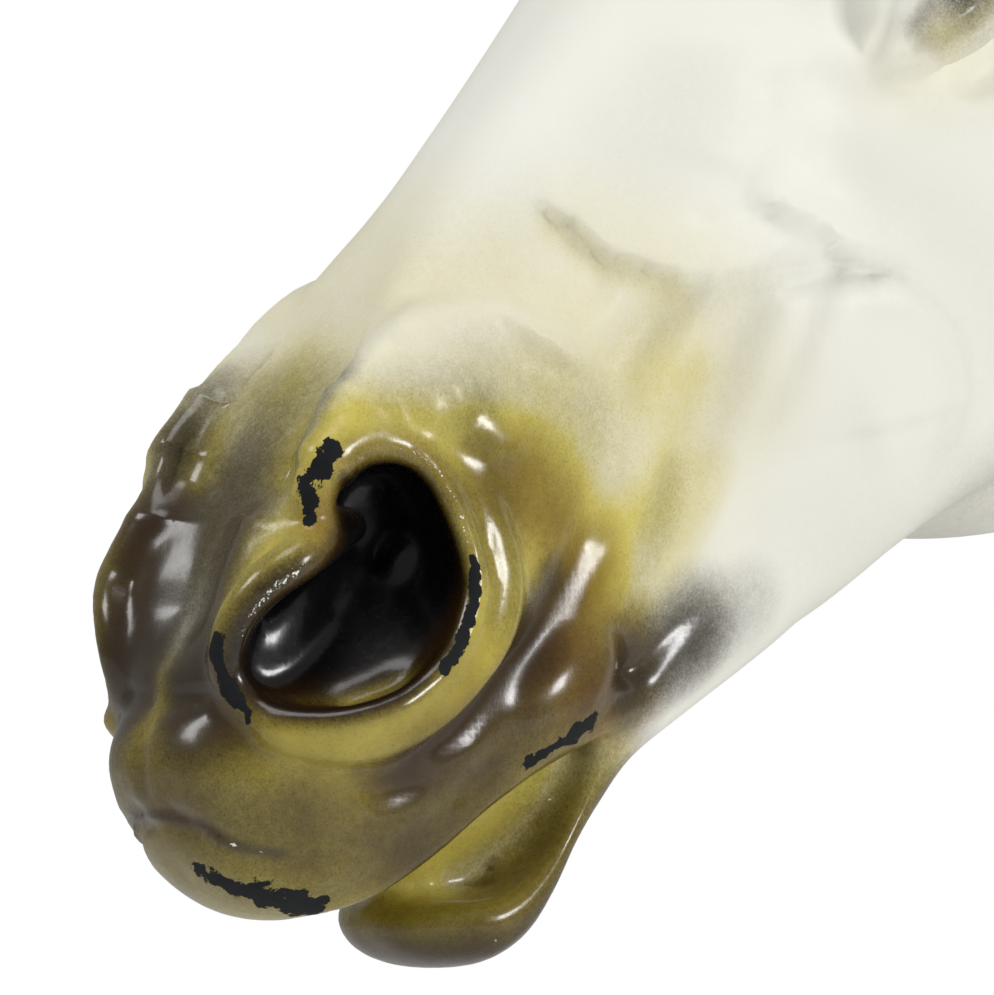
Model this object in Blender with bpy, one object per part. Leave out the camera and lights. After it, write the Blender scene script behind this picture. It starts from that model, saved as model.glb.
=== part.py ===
"""Painted plaster horse head bust, cast in one piece and cut flat below.

The head is carved along its own axis, from the muzzle back to the poll, then tipped nose down on an
arched neck. Places on it are given in parts: the head is 300 parts long, so at its real size a part
is one millimetre. A head place is (side, back, up): side is to the horse's left, back runs from the
front of the upper lip towards the poll, and up is square to both. The neck is given in parts too,
as (side, back, height above the foot).

Masses are lofted or swept, fused into one skin, then carved with a few tools: swell, ridge, groove
and soften. Each works on both sides at once.
"""

import math

import bmesh
import bpy
import numpy as np
from mathutils import Matrix, Vector

# Driving dimensions, in metres
HEAD_LENGTH = 0.300
MUZZLE_HEIGHT = 0.190
FOOT_OVERHANG = 0.176
HEAD_PITCH = math.radians(41)

PART = HEAD_LENGTH / 300

# Fineness of the skin, in metres: coarse on the neck, finer towards the muzzle
SKIN_GRAIN = 0.0046
MUZZLE_ZOOM = 2.4
ZOOM_REACH = 85 * PART
ZOOM_CENTRE = (0, 38, 0)
FACETS = 9400

SECTION_POINTS = 48
STEPS_BETWEEN = 5

HEAD_TO_WORLD = (
    Matrix.Translation((0, -FOOT_OVERHANG, MUZZLE_HEIGHT))
    @ Matrix.Rotation(HEAD_PITCH, 4, "X")
    @ Matrix.Scale(PART, 4)
)
NECK_TO_WORLD = Matrix.Translation((0, -FOOT_OVERHANG, 0)) @ Matrix.Scale(PART, 4)


def spline(rows, steps=STEPS_BETWEEN):
    """A smooth run through the rows of a table: Catmull-Rom, with the end rows kept."""
    table = np.array(rows, float)
    padded = np.vstack((2 * table[0] - table[1], table, 2 * table[-1] - table[-2]))
    run = []
    for a, b, c, d in zip(padded, padded[1:], padded[2:], padded[3:]):
        for step in range(steps):
            t = step / steps
            run.append(
                b + 0.5 * t * (c - a + t * (2 * a - 5 * b + 4 * c - d + t * (3 * (b - c) + d - a)))
            )
    run.append(table[-1])
    return np.array(run)


def closed_spline(rows, steps=STEPS_BETWEEN):
    """The same round a closed loop."""
    table = np.array(rows, float)
    wrapped = np.vstack((table[-1], table, table[0], table[1]))
    return spline(wrapped, steps)[steps:-steps - 1]


# Blocking out: closed shells that overlap, fused later


def new_object(name, bm, matrix):
    bmesh.ops.recalc_face_normals(bm, faces=bm.faces)
    mesh = bpy.data.meshes.new(name)
    bm.to_mesh(mesh)
    bm.free()
    mesh.transform(matrix)
    obj = bpy.data.objects.new(name, mesh)
    bpy.context.scene.collection.objects.link(obj)
    return obj


def loft(name, rings, matrix):
    """A closed shell through rings of points, bridged one to the next, with a face over each end."""
    bm = bmesh.new()
    loops = []
    for ring in rings:
        points = [bm.verts.new(p) for p in ring]
        loops.append([bm.edges.new((a, b)) for a, b in zip(points, points[1:] + points[:1])])
    for a, b in zip(loops, loops[1:]):
        bmesh.ops.bridge_loops(bm, edges=a + b)
    bmesh.ops.holes_fill(bm, edges=loops[0] + loops[-1], sides=0)
    return new_object(name, bm, matrix)


def head_section(back, top, bottom, widest, half_width, crown, keel):
    """A ring round the head: a super-ellipse, with its own squareness above and below the widest level."""
    ring = []
    for k in range(SECTION_POINTS):
        turn = math.tau * k / SECTION_POINTS
        c, s = math.cos(turn), math.sin(turn)
        power = 2 / (crown if s >= 0 else keel)
        reach = top - widest if s >= 0 else widest - bottom
        side = half_width * math.copysign(abs(c) ** power, c)
        ring.append((side, back, widest + reach * math.copysign(abs(s) ** power, s)))
    return ring


def neck_section(back, height, lean, fore_aft, half_width, squareness):
    """A ring round the neck, leaning forward from level by lean degrees."""
    ring = []
    tilt = math.radians(lean)
    for k in range(SECTION_POINTS):
        turn = math.tau * k / SECTION_POINTS
        c, s = math.cos(turn), math.sin(turn)
        power = 2 / squareness
        side = half_width * math.copysign(abs(c) ** power, c)
        along = fore_aft * math.copysign(abs(s) ** power, s)
        ring.append((side, back + along * math.cos(tilt), height + along * math.sin(tilt)))
    return ring


def swept(name, path, matrix, sides=12):
    """A round rope of changing thickness through rows of (side, back, up, radius)."""
    run = spline(path)
    points = [Vector(row[:3]) for row in run]
    rings = []
    for k, (point, row) in enumerate(zip(points, run)):
        along = (points[min(k + 1, len(points) - 1)] - points[max(k - 1, 0)]).normalized()
        turn = along.to_track_quat("Z", "Y")
        rings.append(
            [
                point + turn @ Vector((row[3] * math.cos(a), row[3] * math.sin(a), 0))
                for a in (math.tau * j / sides for j in range(sides))
            ]
        )
    return loft(name, rings, matrix)


def ball(name, centre, radii, matrix):
    """An ellipsoid at centre."""
    bm = bmesh.new()
    bmesh.ops.create_uvsphere(bm, u_segments=32, v_segments=20, radius=1)
    place = Matrix.Translation(centre) @ Matrix.Diagonal((*radii, 1))
    bmesh.ops.transform(bm, matrix=place, verts=bm.verts)
    return new_object(name, bm, matrix)


def mirrored(obj):
    """A copy of obj on the horse's right."""
    copy = obj.copy()
    copy.data = obj.data.copy()
    copy.data.transform(Matrix.Scale(-1, 4, (1, 0, 0)))
    copy.data.flip_normals()
    bpy.context.scene.collection.objects.link(copy)
    return copy


def both_sides(obj):
    return [obj, mirrored(obj)]


# back, top, bottom, widest level, half width, squareness above, squareness below
HEAD_STATIONS = (
    (0.0, 0, -9, -4, 6, 2.0, 2.0),
    (1.5, 5, -14, -4, 11, 2.0, 2.0),
    (4, 9.5, -18, -5, 15, 2.1, 2.2),
    (8, 14, -21.5, -6, 18, 2.2, 2.4),
    (14, 19.5, -23.5, -5, 20.5, 2.3, 2.6),
    (22, 26, -24.5, -3, 22.5, 2.5, 2.8),
    (32, 32, -25, 0, 25, 2.7, 3.0),
    (44, 37.5, -26, 3, 26.5, 2.9, 3.0),
    (58, 42, -29, 5, 26.5, 3.1, 2.8),
    (70, 44.5, -34, 5, 25.5, 2.9, 2.5),
    (82, 45, -42, 4, 24.5, 2.5, 2.4),
    (98, 46, -49.5, 3, 25, 2.2, 2.5),
    (115, 48.5, -54, 2, 27, 2.1, 2.7),
    (132, 51, -55, 0, 30.5, 2.1, 3.2),
    (150, 54, -59, -3, 35, 2.1, 3.2),
    (170, 58, -68, -6, 41, 2.1, 2.8),
    (190, 61.5, -77, -10, 45.5, 2.2, 2.4),
    (210, 65, -81, -12, 47.5, 2.3, 2.2),
    (230, 67, -79, -10, 46, 2.4, 2.2),
    (250, 66, -69, 0, 42, 2.4, 2.2),
    (270, 62, -48, 5, 36, 2.3, 2.2),
    (288, 55, -22, 12, 29, 2.2, 2.0),
    (300, 46, 0, 20, 21, 2.0, 2.0),
    (306, 38, 14, 25, 10, 2.0, 2.0),
)

CHIN_STATIONS = (
    (18.6, -34, -40, -37, 6, 2.0, 2.0),
    (20.4, -32.5, -43.5, -38, 10.5, 2.2, 2.2),
    (23.4, -32.5, -46.5, -39.5, 14.5, 2.6, 2.3),
    (27, -34, -49, -41.5, 17.5, 3.0, 2.3),
    (34, -38.5, -50.5, -42.5, 18.5, 3.2, 2.3),
    (42, -39.5, -48.5, -42, 18.3, 3.2, 2.3),
    (50, -38.5, -46, -40, 17.8, 3.0, 2.3),
    (58, -35, -45, -37, 18.2, 2.6, 2.3),
    (67, -30, -44.5, -34, 19, 2.2, 2.3),
    (80, -26, -47, -32, 20.5, 2.0, 2.3),
    (100, -25, -51, -32, 21, 2.0, 2.4),
    (115, -25, -53, -32, 21, 2.0, 2.4),
)

# back, height, lean, half depth, half width, squareness
NECK_STATIONS = (
    (250, -8, 0, 97, 64, 2.3),
    (250, 0, 0, 96, 63, 2.3),
    (252, 45, 0, 88, 56, 2.2),
    (257, 95, 0, 82, 50, 2.1),
    (263, 145, 0, 80, 46, 2.05),
    (267, 195, 4, 80, 42, 2.0),
    (268, 240, 10, 82, 39, 2.0),
    (262, 290, 19, 78, 37, 2.0),
    (247, 335, 31, 68, 34, 2.0),
    (227, 368, 45, 54, 30, 2.0),
    (207, 389, 59, 42, 26, 2.0),
    (192, 399, 70, 31, 20, 2.0),
)

MANE_LOCKS = 15

# The nostril's rim, from its front end over the top and round to the wing that rolls back inside
NOSTRIL_RIM = (
    (18.6, 42.5, 31.2, 2.4),
    (19.4, 46.0, 33.2, 3.0),
    (20.3, 50.0, 34.0, 3.0),
    (21.4, 54.4, 32.8, 2.6),
    (23.0, 58.2, 29.6, 2.3),
    (25.0, 59.9, 25.5, 2.1),
    (26.5, 59.7, 21.3, 2.2),
    (28.0, 58.0, 16.5, 2.2),
    (29.5, 55.7, 12.2, 2.2),
    (30.3, 52.7, 7.6, 2.3),
    (30.6, 48.1, 4.6, 2.4),
    (30.5, 42.8, 2.5, 2.5),
    (30.0, 36.6, 1.9, 2.6),
    (29.5, 30.3, 3.0, 2.7),
    (27.5, 24.5, 5.4, 2.7),
    (24.3, 20.3, 8.2, 2.7),
    (20.3, 17.8, 11.2, 2.7),
    (16.6, 17.0, 14.6, 2.7),
    (14.4, 17.6, 18.2, 2.8),
    (14.2, 19.2, 21.6, 3.0),
    (15.2, 22.0, 24.4, 3.3),
    (17.2, 25.8, 26.8, 3.6),
    (19.6, 30.5, 27.8, 3.8),
    (20.8, 36.0, 27.0, 3.8),
    (18.8, 42.8, 24.8, 3.5),
    (14.0, 50.8, 21.0, 3.0),
)
# The stretch of the rim that goes round the opening
RIM_OPEN = slice(2, 24)
CLOSING_POINT = (16.2, 46.0, 27.5)
INTO_NOSTRIL = Vector((-0.72, 0.66, 0.05)).normalized()

# The thick roll behind the rim, on the cheek side
NOSTRIL_ROLL = (
    (22.0, 64.0, 24.0, 3.0),
    (23.5, 63.8, 17.0, 4.0),
    (25.0, 61.8, 9.0, 4.5),
    (26.0, 57.5, 2.5, 4.8),
    (26.3, 51.0, -1.2, 5.0),
    (26.3, 44.0, -2.8, 5.0),
    (26.0, 36.7, -2.6, 5.0),
    (25.3, 29.2, -0.6, 4.6),
    (23.8, 22.6, 3.0, 4.0),
    (21.5, 17.6, 8.0, 3.2),
    (19.5, 15.0, 13.0, 2.4),
)

# The fuller crest in front of the right nostril
RIGHT_CREST = (
    (17.5, 93.0, 33.0, 2.0),
    (17.0, 87.0, 35.5, 4.0),
    (16.3, 79.5, 37.0, 4.8),
    (15.4, 71.5, 37.0, 4.2),
    (14.9, 64.5, 37.0, 3.6),
    (15.0, 58.0, 37.6, 3.7),
    (14.6, 50.2, 37.4, 4.1),
    (14.2, 46.0, 35.9, 4.2),
    (14.2, 40.9, 33.8, 4.2),
    (15.2, 36.5, 31.8, 4.2),
    (17.5, 31.4, 29.2, 4.0),
)

# The fold that lies inside the wing
INNER_FOLD = (
    (13.0, 21.0, 15.0, 2.5),
    (12.5, 25.5, 18.0, 4.0),
    (11.5, 32.0, 18.5, 4.5),
    (9.5, 39.5, 17.5, 4.5),
    (7.0, 47.0, 15.5, 4.0),
)

# Two ridges on the wall of the hollow
INNER_RIDGES = (
    (
        (10.6, 39.5, 13.5, 1.6), (11.4, 36.5, 14.9, 3.0), (12.6, 32.5, 16.0, 3.4),
        (13.6, 27.5, 15.9, 3.0), (14.3, 23.5, 15.2, 2.0),
    ),
    (
        (15.0, 58.0, 13.6, 1.6), (14.6, 55.0, 12.2, 2.6), (14.2, 51.5, 11.0, 2.6),
        (13.6, 48.5, 10.4, 1.4),
    ),
)

# How deep each ring of the hollow lies, and its size as a share of the rim's
NOSTRIL_DEPTHS = ((-12, 1.0), (-2, 0.97), (3, 0.88), (8, 0.76), (13, 0.6), (17, 0.4), (19, 0.18))

# The margin of the upper lip, from the front to the corner of the mouth
UPPER_LIP = (
    (0.0, 5.0, -12.0, 3.0),
    (8.0, 7.5, -16.0, 3.4),
    (14.0, 15.5, -19.8, 3.6),
    (17.0, 26.0, -21.3, 3.8),
    (18.5, 38.0, -22.0, 4.0),
    (19.0, 50.0, -23.8, 4.4),
    (19.0, 59.0, -26.8, 4.4),
    (18.5, 67.0, -31.0, 3.4),
    (17.0, 74.0, -34.0, 2.0),
)

UPPER_LID = (
    (37.0, 161.0, 18.5, 1.6),
    (42.5, 166.5, 26.0, 2.6),
    (45.8, 174.0, 31.5, 3.0),
    (46.2, 182.5, 32.5, 3.0),
    (44.3, 190.0, 28.5, 2.4),
    (41.0, 196.5, 22.0, 1.4),
)
LOWER_LID = (
    (37.0, 161.0, 18.5, 1.6),
    (42.6, 167.0, 16.5, 2.2),
    (45.6, 174.5, 14.5, 2.4),
    (46.0, 183.0, 15.0, 2.3),
    (44.3, 190.5, 18.3, 1.9),
    (41.0, 196.5, 22.0, 1.4),
)

FORELOCK = (
    (
        (0, 296, 52, 7), (-3, 283, 65, 6), (-4, 268, 69, 5.5), (-1, 252, 71.5, 5),
        (3, 236, 71.5, 4), (3, 222, 69.5, 2),
    ),
    (
        (7, 294, 50, 6), (8, 281, 63, 6), (9, 266, 67.5, 5.5), (12, 251, 69, 4.5),
        (11, 238, 69.5, 3.5), (8, 226, 69, 1.6),
    ),
    (
        (-8, 294, 50, 6), (-10, 281, 62, 5.5), (-12, 266, 66, 5), (-9, 252, 69.5, 4.5),
        (-8, 241, 70, 3), (-10, 230, 68, 1.5),
    ),
)


def block_out():
    """The masses of the bust, and the hollows that are cut from them."""
    head = loft("head", [head_section(*row) for row in spline(HEAD_STATIONS)], HEAD_TO_WORLD)
    chin = loft("chin", [head_section(*row) for row in spline(CHIN_STATIONS)], HEAD_TO_WORLD)
    neck = loft("neck", [neck_section(*row) for row in spline(NECK_STATIONS)], NECK_TO_WORLD)
    gullet = ball("gullet", (0, 150, MUZZLE_HEIGHT / PART + 73), (23, 62, 27), NECK_TO_WORLD)
    tongue = ball("tongue", (0, 52, -29.5), (12.5, 27, 11.5), HEAD_TO_WORLD)

    # The nostril: a hollow inside the rim that runs in and back under its upper end
    opening = nostril_opening()
    centre = sum(opening, Vector()) / len(opening)
    rings = []
    for depth, spread in NOSTRIL_DEPTHS:
        ring = closed_spline([centre + (p - centre) * spread + INTO_NOSTRIL * depth for p in opening], 3)
        rings.append(ring)
    for hollow in both_sides(loft("nostril_hollow", rings, HEAD_TO_WORLD)):
        cut(head, hollow)

    masses = [head, chin, neck, gullet, tongue]
    for name, rows in (
        ("nostril_rim", NOSTRIL_RIM),
        ("nostril_roll", NOSTRIL_ROLL),
        ("inner_fold", INNER_FOLD),
        ("upper_lip", UPPER_LIP),
        ("upper_lid", UPPER_LID),
        ("lower_lid", LOWER_LID),
    ):
        masses += both_sides(swept(name, rows, HEAD_TO_WORLD))
    crest = swept("right_crest", RIGHT_CREST, HEAD_TO_WORLD)
    masses.append(mirrored(crest))
    bpy.data.objects.remove(crest)
    for ridge in INNER_RIDGES:
        masses += both_sides(swept("inner_ridge", ridge, HEAD_TO_WORLD))
    masses += both_sides(ball("mouth_corner", (16.3, 58, -19), (11, 18, 11), HEAD_TO_WORLD))
    masses += both_sides(ball("eyeball", (34.5, 178.5, 23.5), (12.5, 13, 11.5), HEAD_TO_WORLD))
    masses += both_sides(ear())
    masses += [swept("lock", lock, NECK_TO_WORLD) for lock in mane_locks()]
    masses += [swept("forelock", lock, HEAD_TO_WORLD) for lock in FORELOCK]
    return masses


def nostril_opening():
    """The places round the mouth of the nostril."""
    return [Vector(row[:3]) for row in NOSTRIL_RIM[RIM_OPEN]] + [Vector(CLOSING_POINT)]


def neck_point(share, turn, lift):
    """A place on the neck's skin: share of the way up, turn round from its left, lifted off by lift."""
    table = spline(NECK_STATIONS)
    at = np.linspace(0, 1, len(table))
    back, height, lean, depth, width, _ = (np.interp(share, at, column) for column in table.T)
    turn = math.radians(turn)
    along = (depth + lift) * math.sin(turn)
    side = (width + lift) * math.cos(turn)
    tilt = math.radians(lean)
    return side, back + along * math.cos(tilt), height + along * math.sin(tilt)


def mane_locks():
    """Locks that spring from the crest of the neck and hang down its right side."""
    locks = []
    for k in range(MANE_LOCKS):
        root = 0.97 - 0.83 * k / (MANE_LOCKS - 1)
        fall = 0.19 + 0.03 * math.sin(2.4 * k)
        wave = 0.014 * math.sin(1.7 * k + 1)
        thick = 8 + 1.2 * math.sin(2.9 * k)
        rows = []
        for part, turn, lift, girth in (
            (-0.10, 76, -3, 0.85),
            (0.00, 90, 1, 1.0),
            (0.12, 106, 3, 1.05),
            (0.35, 124, 3, 1.05),
            (0.60, 140, 3, 0.95),
            (0.82, 151, 2, 0.7),
            (1.00, 158, 0, 0.3),
        ):
            share = max(root - fall * part + wave * math.sin(6 * part), 0.03)
            rows.append((*neck_point(share, turn, lift), thick * girth))
        locks.append(rows)
    return locks


def ear():
    """A pricked ear: a tapering leaf, hollowed later."""
    rows = (
        # side, back, up, half width, half depth
        (18, 283, 42, 10, 10),
        (21, 289, 54, 11.5, 10),
        (24, 296, 66, 12.5, 9),
        (26, 303, 78, 12, 8),
        (27, 310, 90, 9, 6.5),
        (27, 316, 100, 5, 4.2),
        (26, 319.5, 107, 1.4, 1.4),
    )
    rings = []
    for side, back, up, wide, deep in spline(rows):
        ring = []
        for k in range(24):
            turn = math.tau * k / 24
            # depth runs square to the ear's length, which leans back
            along = deep * math.sin(turn)
            ring.append((side + wide * math.cos(turn), back + along * 0.87, up - along * 0.5))
        rings.append(ring)
    return loft("ear", rings, HEAD_TO_WORLD)


def cut(obj, cutter):
    """Takes cutter out of obj for good."""
    modifier = obj.modifiers.new("cut", "BOOLEAN")
    modifier.operation = "DIFFERENCE"
    modifier.object = cutter
    bake_modifiers(obj)
    bpy.data.objects.remove(cutter)


def bake_modifiers(obj):
    """Replaces obj's mesh by what its modifiers make of it."""
    graph = bpy.context.evaluated_depsgraph_get()
    mesh = bpy.data.meshes.new_from_object(obj.evaluated_get(graph))
    obj.modifiers.clear()
    obj.data = mesh


# Fusing: one skin over the masses, finer near the muzzle


def zoomed(points, outwards=True):
    """Moves points away from the muzzle, so that an even grain there becomes a finer one, or back again."""
    centre = np.array(HEAD_TO_WORLD @ Vector(ZOOM_CENTRE))
    reach = np.linspace(0, 2.0, 2000)
    pushed = reach * (1 + (MUZZLE_ZOOM - 1) / (1 + (reach / ZOOM_REACH) ** 2))
    arm = points - centre
    distance = np.linalg.norm(arm, axis=1)
    table = (reach, pushed) if outwards else (pushed, reach)
    scale = np.interp(distance, *table) / np.maximum(distance, 1e-9)
    return centre + arm * scale[:, None]


def move_points(mesh, change):
    points = np.empty(len(mesh.vertices) * 3)
    mesh.vertices.foreach_get("co", points)
    mesh.vertices.foreach_set("co", change(points.reshape(-1, 3)).ravel())
    mesh.update()


def fuse(name, masses, grain):
    """One closed skin round all the masses."""
    bm = bmesh.new()
    for mass in masses:
        bm.from_mesh(mass.data)
        bpy.data.objects.remove(mass)
    bmesh.ops.triangulate(bm, faces=[f for f in bm.faces if len(f.verts) > 4])
    obj = new_object(name, bm, Matrix.Identity(4))
    move_points(obj.data, zoomed)
    remesh = obj.modifiers.new("skin", "REMESH")
    remesh.mode = "VOXEL"
    remesh.voxel_size = grain
    bake_modifiers(obj)
    move_points(obj.data, lambda points: zoomed(points, outwards=False))
    return obj


# Carving


class Clay:
    """The skin's points, and the tools that carve them. Paths are rows of head places, in parts."""

    def __init__(self, obj):
        self.mesh = obj.data
        self.points = np.empty(len(self.mesh.vertices) * 3)
        self.mesh.vertices.foreach_get("co", self.points)
        self.points = self.points.reshape(-1, 3)
        edges = np.empty(len(self.mesh.edges) * 2, int)
        self.mesh.edges.foreach_get("vertices", edges)
        self.a, self.b = edges.reshape(-1, 2).T
        self.degree = np.bincount(np.concatenate((self.a, self.b)), minlength=len(self.points))
        self.look_again()

    def look_again(self):
        """Writes the points back and reads the normals afresh."""
        self.mesh.vertices.foreach_set("co", self.points.ravel())
        self.mesh.update()
        flat = np.empty(len(self.points) * 3)
        self.mesh.vertices.foreach_get("normal", flat)
        self.normals = flat.reshape(-1, 3)

    def reach(self, path, width, side=0):
        """The points near a path: which they are, how far off as a share of width, how far along it,
        and whether they lie on its left, seen from outside.

        The path counts for both sides of the head, or with side 1 for its left and -1 for its right.
        """
        route = np.array([HEAD_TO_WORLD @ Vector(p) for p in path])
        if len(route) > 2:
            route = spline(route)
        width = width * PART
        folded = np.abs(self.points * (1, 0, 0)) + self.points * (0, 1, 1)
        low, high = route.min(0) - width, route.max(0) + width
        near = np.flatnonzero(((folded > low) & (folded < high)).all(1) & (self.points[:, 0] * side >= 0))
        best = np.full(len(near), 1e9)
        along = np.full(len(near), 0.5)
        left = np.ones(len(near), bool)
        if len(route) == 1:
            return near, np.linalg.norm(folded[near] - route[0], axis=1) / width, along, left
        outwards = self.normals[near] * np.where(self.points[near, :1] < 0, (-1, 1, 1), (1, 1, 1))
        for k, (start, end) in enumerate(zip(route, route[1:])):
            leg = end - start
            share = np.clip((folded[near] - start) @ leg / max(leg @ leg, 1e-12), 0, 1)
            gap = np.linalg.norm(folded[near] - start - share[:, None] * leg, axis=1)
            closer = gap < best
            best[closer] = gap[closer]
            along[closer] = ((k + share) / (len(route) - 1))[closer]
            turned = (np.cross(leg, folded[near] - start) * outwards).sum(1) > 0
            left[closer] = turned[closer]
        return near, best / width, along, left

    def raise_by(self, path, width, height, sharp=0.0, side=0):
        """Lifts the skin along its normals, or sinks it in a groove that runs out at both ends.

        sharp goes from 0, a round swell, to 1, a crease.
        """
        near, gap, along, _ = self.reach(path, width, side)
        inside = np.clip(1 - gap, 0, 1)
        rounded = np.clip(1 - gap**2, 0, 1) ** 2
        weight = (1 - sharp) * rounded + sharp * inside**2
        if len(path) > 1:
            least = 0.05 if height < 0 else 0.4
            weight = weight * np.clip(np.minimum(along, 1 - along) * 5 + least, 0, 1) ** 0.7
        self.points[near] += self.normals[near] * (weight * height * PART)[:, None]
        self.look_again()

    def fold(self, path, width, height, edge):
        """Raises a ledge on the left of the path: it drops over edge at the path, and fades over width."""
        near, gap, along, left = self.reach(path, width)
        slope = np.clip(1 - gap, 0, 1) ** 2
        cliff = np.clip(1 - gap * width / edge, 0, 1)
        weight = np.where(left, slope, cliff * cliff * (3 - 2 * cliff))
        weight *= np.clip(np.minimum(along, 1 - along) * 4, 0, 1)
        self.points[near] += self.normals[near] * (weight * height * PART)[:, None]
        self.look_again()

    def soften(self, reach, shrink=False):
        """Relaxes the skin over about reach parts, as much on its fine part as on its coarse one.

        Without shrink it keeps its volume.
        """
        length = np.linalg.norm(self.points[self.a] - self.points[self.b], axis=1)
        around = np.bincount(self.a, length, len(self.points)) + np.bincount(self.b, length, len(self.points))
        grain = around / self.degree
        rounds = 1.5 * (reach * PART / grain) ** 2
        for turn in range(max(1, math.ceil(np.percentile(rounds, 99)))):
            weight = np.clip(rounds - turn, 0, 1)
            for pull in (0.55,) if shrink else (0.55, -0.57):
                total = np.stack(
                    [
                        np.bincount(self.a, self.points[self.b, k], len(self.points))
                        + np.bincount(self.b, self.points[self.a, k], len(self.points))
                        for k in range(3)
                    ],
                    axis=1,
                )
                mean = total / self.degree[:, None]
                self.points += (mean - self.points) * (weight * pull)[:, None]
        self.look_again()


# Each row: how far the skin rises (or sinks), how wide, how sharp, and where
SWELLINGS = (
    # dome over the nostril
    (3.0, 15, 0.0, ((19, 66, 34), (23, 76, 26), (25, 78, 14))),
    (2.2, 15, 0.0, ((17, 61, 40), (16, 47, 35))),
    # between the nostrils and the top lip
    (2.2, 9, 0.0, ((0, 7, 12), (8, 8, 11), (12, 11, 4))),
    # band of the upper lip, and the corner of the mouth
    (1.2, 7, 0.0, ((17, 14, -14), (20, 28, -16), (21, 42, -16))),
    # muscles of the face
    (1.6, 8, 0.0, ((25.6, 116, 15), (27.5, 121, 11.5), (29, 127, 8.5), (30.5, 133, 6.5), (31, 138, 4))),
    (1.4, 8, 0.0, ((27, 120, 9.5), (26.4, 114, 8.5), (25.5, 104, 3), (24.4, 94, -2.4), (24, 86, -6))),
    (3.6, 23, 0.0, ((29, 126, -6), (30, 131, -18), (28, 128, -28))),
    (1.4, 15, 0.0, ((28, 130, 24), (27, 137, 28), (25.5, 143, 33), (24, 148, 38))),
    (2.5, 16, 0.0, ((33, 150, 16), (36, 166, 6), (38, 186, -2), (38, 205, -6))),
    (3.0, 34, 0.0, ((37, 205, -40),)),
    # brow
    (3.5, 11, 0.0, ((28, 168, 36), (32, 180, 41), (30, 194, 40))),
)
GROOVES = (
    # along the nose between the nostrils
    (-4.6, 12, 0.0, ((0, 90, 45), (0, 68, 43), (0, 52, 39), (0, 38, 33), (0, 26, 27), (0, 17, 21))),
    (-5.0, 10.5, 0.0, ((10.5, 38, 33), (11, 46, 37.5), (11, 55, 41), (10, 65, 43.5), (8, 80, 45.5))),
    # under the nostril, back from the lip to the cheek
    (-2.0, 6.5, 0.3, (
        (23.5, 86, 0), (23.7, 77.5, -4), (24.4, 69, -6.5), (25.6, 58, -9), (26, 45, -8.5),
        (25, 34, -8.5), (22, 24, -8),
    )),
    (-0.9, 5.0, 0.1, ((22.2, 18.9, -1), (22.4, 25, -10), (23.7, 33.6, -16), (22.8, 41.7, -19.4))),
    (-0.8, 5.0, 0.1, ((20, 15, -6), (20.5, 20, -14), (20.5, 30, -19), (20.5, 40, -21.5))),
    # crease over the top lip
    (-2.0, 4.2, 0.5, (
        (0, 2, 5), (4.5, 2.3, 5), (9.9, 3, 2.1), (13, 4, -3), (16, 7, -8), (18, 11, -11),
    )),
    (-1.2, 3.5, 0.5, ((0, 12.5, 19), (6, 13.5, 18.8), (11.4, 14.4, 18))),
    # soft valleys between the muscles of the face
    (-2.0, 8, 0.0, (
        (29.5, 125, 6), (28.9, 121, 4), (28.2, 116, 1.4), (26.3, 110, -3), (24, 99.4, -9),
        (23.4, 90, -12),
    )),
    (-1.8, 7, 0.0, ((27.5, 119, 10), (26.7, 114, 11), (25.2, 106, 12), (25.8, 99, 12), (26, 92, 10))),
    (-2.8, 4.6, 0.4, ((30.4, 125.8, 5), (31.1, 132.6, 1.4), (32.5, 139.6, -4.8), (33, 144, -9))),
    (-1.2, 12, 0.0, ((24, 94, 36), (24.5, 102, 28), (25, 106, 20))),
    (-0.9, 8, 0.1, ((22, 76, -22), (22.5, 92, -24), (24, 108, -26))),
    (-1.4, 12, 0.0, ((31, 128, -27), (28, 114, -25), (25, 98, -23))),
    # round the eye
    (-2.0, 7, 0.2, ((37, 156, 20), (35, 149, 25), (31, 141, 28))),
    (-1.6, 5, 0.2, ((42, 168, 9), (44, 178, 7), (43, 190, 10))),
    (-1.5, 4, 0.3, ((43, 166, 32), (46, 176, 37.5), (45, 188, 35))),
    (-3.0, 9, 0.1, ((33, 196, 36), (33, 206, 34))),
    # hollow between jowl and neck
    (-4.0, 14, 0.1, ((34, 262, 10), (36, 258, -20), (34, 250, -50))),
    # inside of the ears
    (-6.5, 8, 0.2, ((25, 286, 66), (28, 293, 78), (28.5, 302, 89), (28, 311, 100))),
    # mouth: the dish of the lower lip, and the break round the tongue
    (-1.0, 9, 0.1, ((0, 24, -37), (8, 31, -38), (11, 41, -38), (12, 50, -36))),
)

# The same on the left side only: the folds of its dome
LEFT_SWELLINGS = (
    (3.0, 7.5, 0.1, (
        (20.6, 70, 39.8), (20, 77, 38.3), (21.3, 82.4, 35.6), (23, 88.8, 29), (24.5, 91.5, 23),
        (25.4, 93, 18),
    )),
    (1.4, 9, 0.0, ((19, 46, 35), (19.5, 54, 37.5), (20, 62, 38))),
    (1.3, 8, 0.0, ((23.6, 80, 30), (25.3, 69, 30))),
    (1.0, 7, 0.0, ((27, 71, 24), (27.4, 71.5, 16))),
    (0.7, 6, 0.0, ((24.7, 84.7, 20.5), (25.9, 84.2, 16.5), (26, 84.2, 11.5))),
    (-0.8, 7, 0.0, ((24.3, 80, 26), (25, 83, 22), (25.7, 87, 16))),
    (-0.4, 5, 0.0, ((25, 76.5, 25), (27, 69.5, 27))),
)

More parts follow.
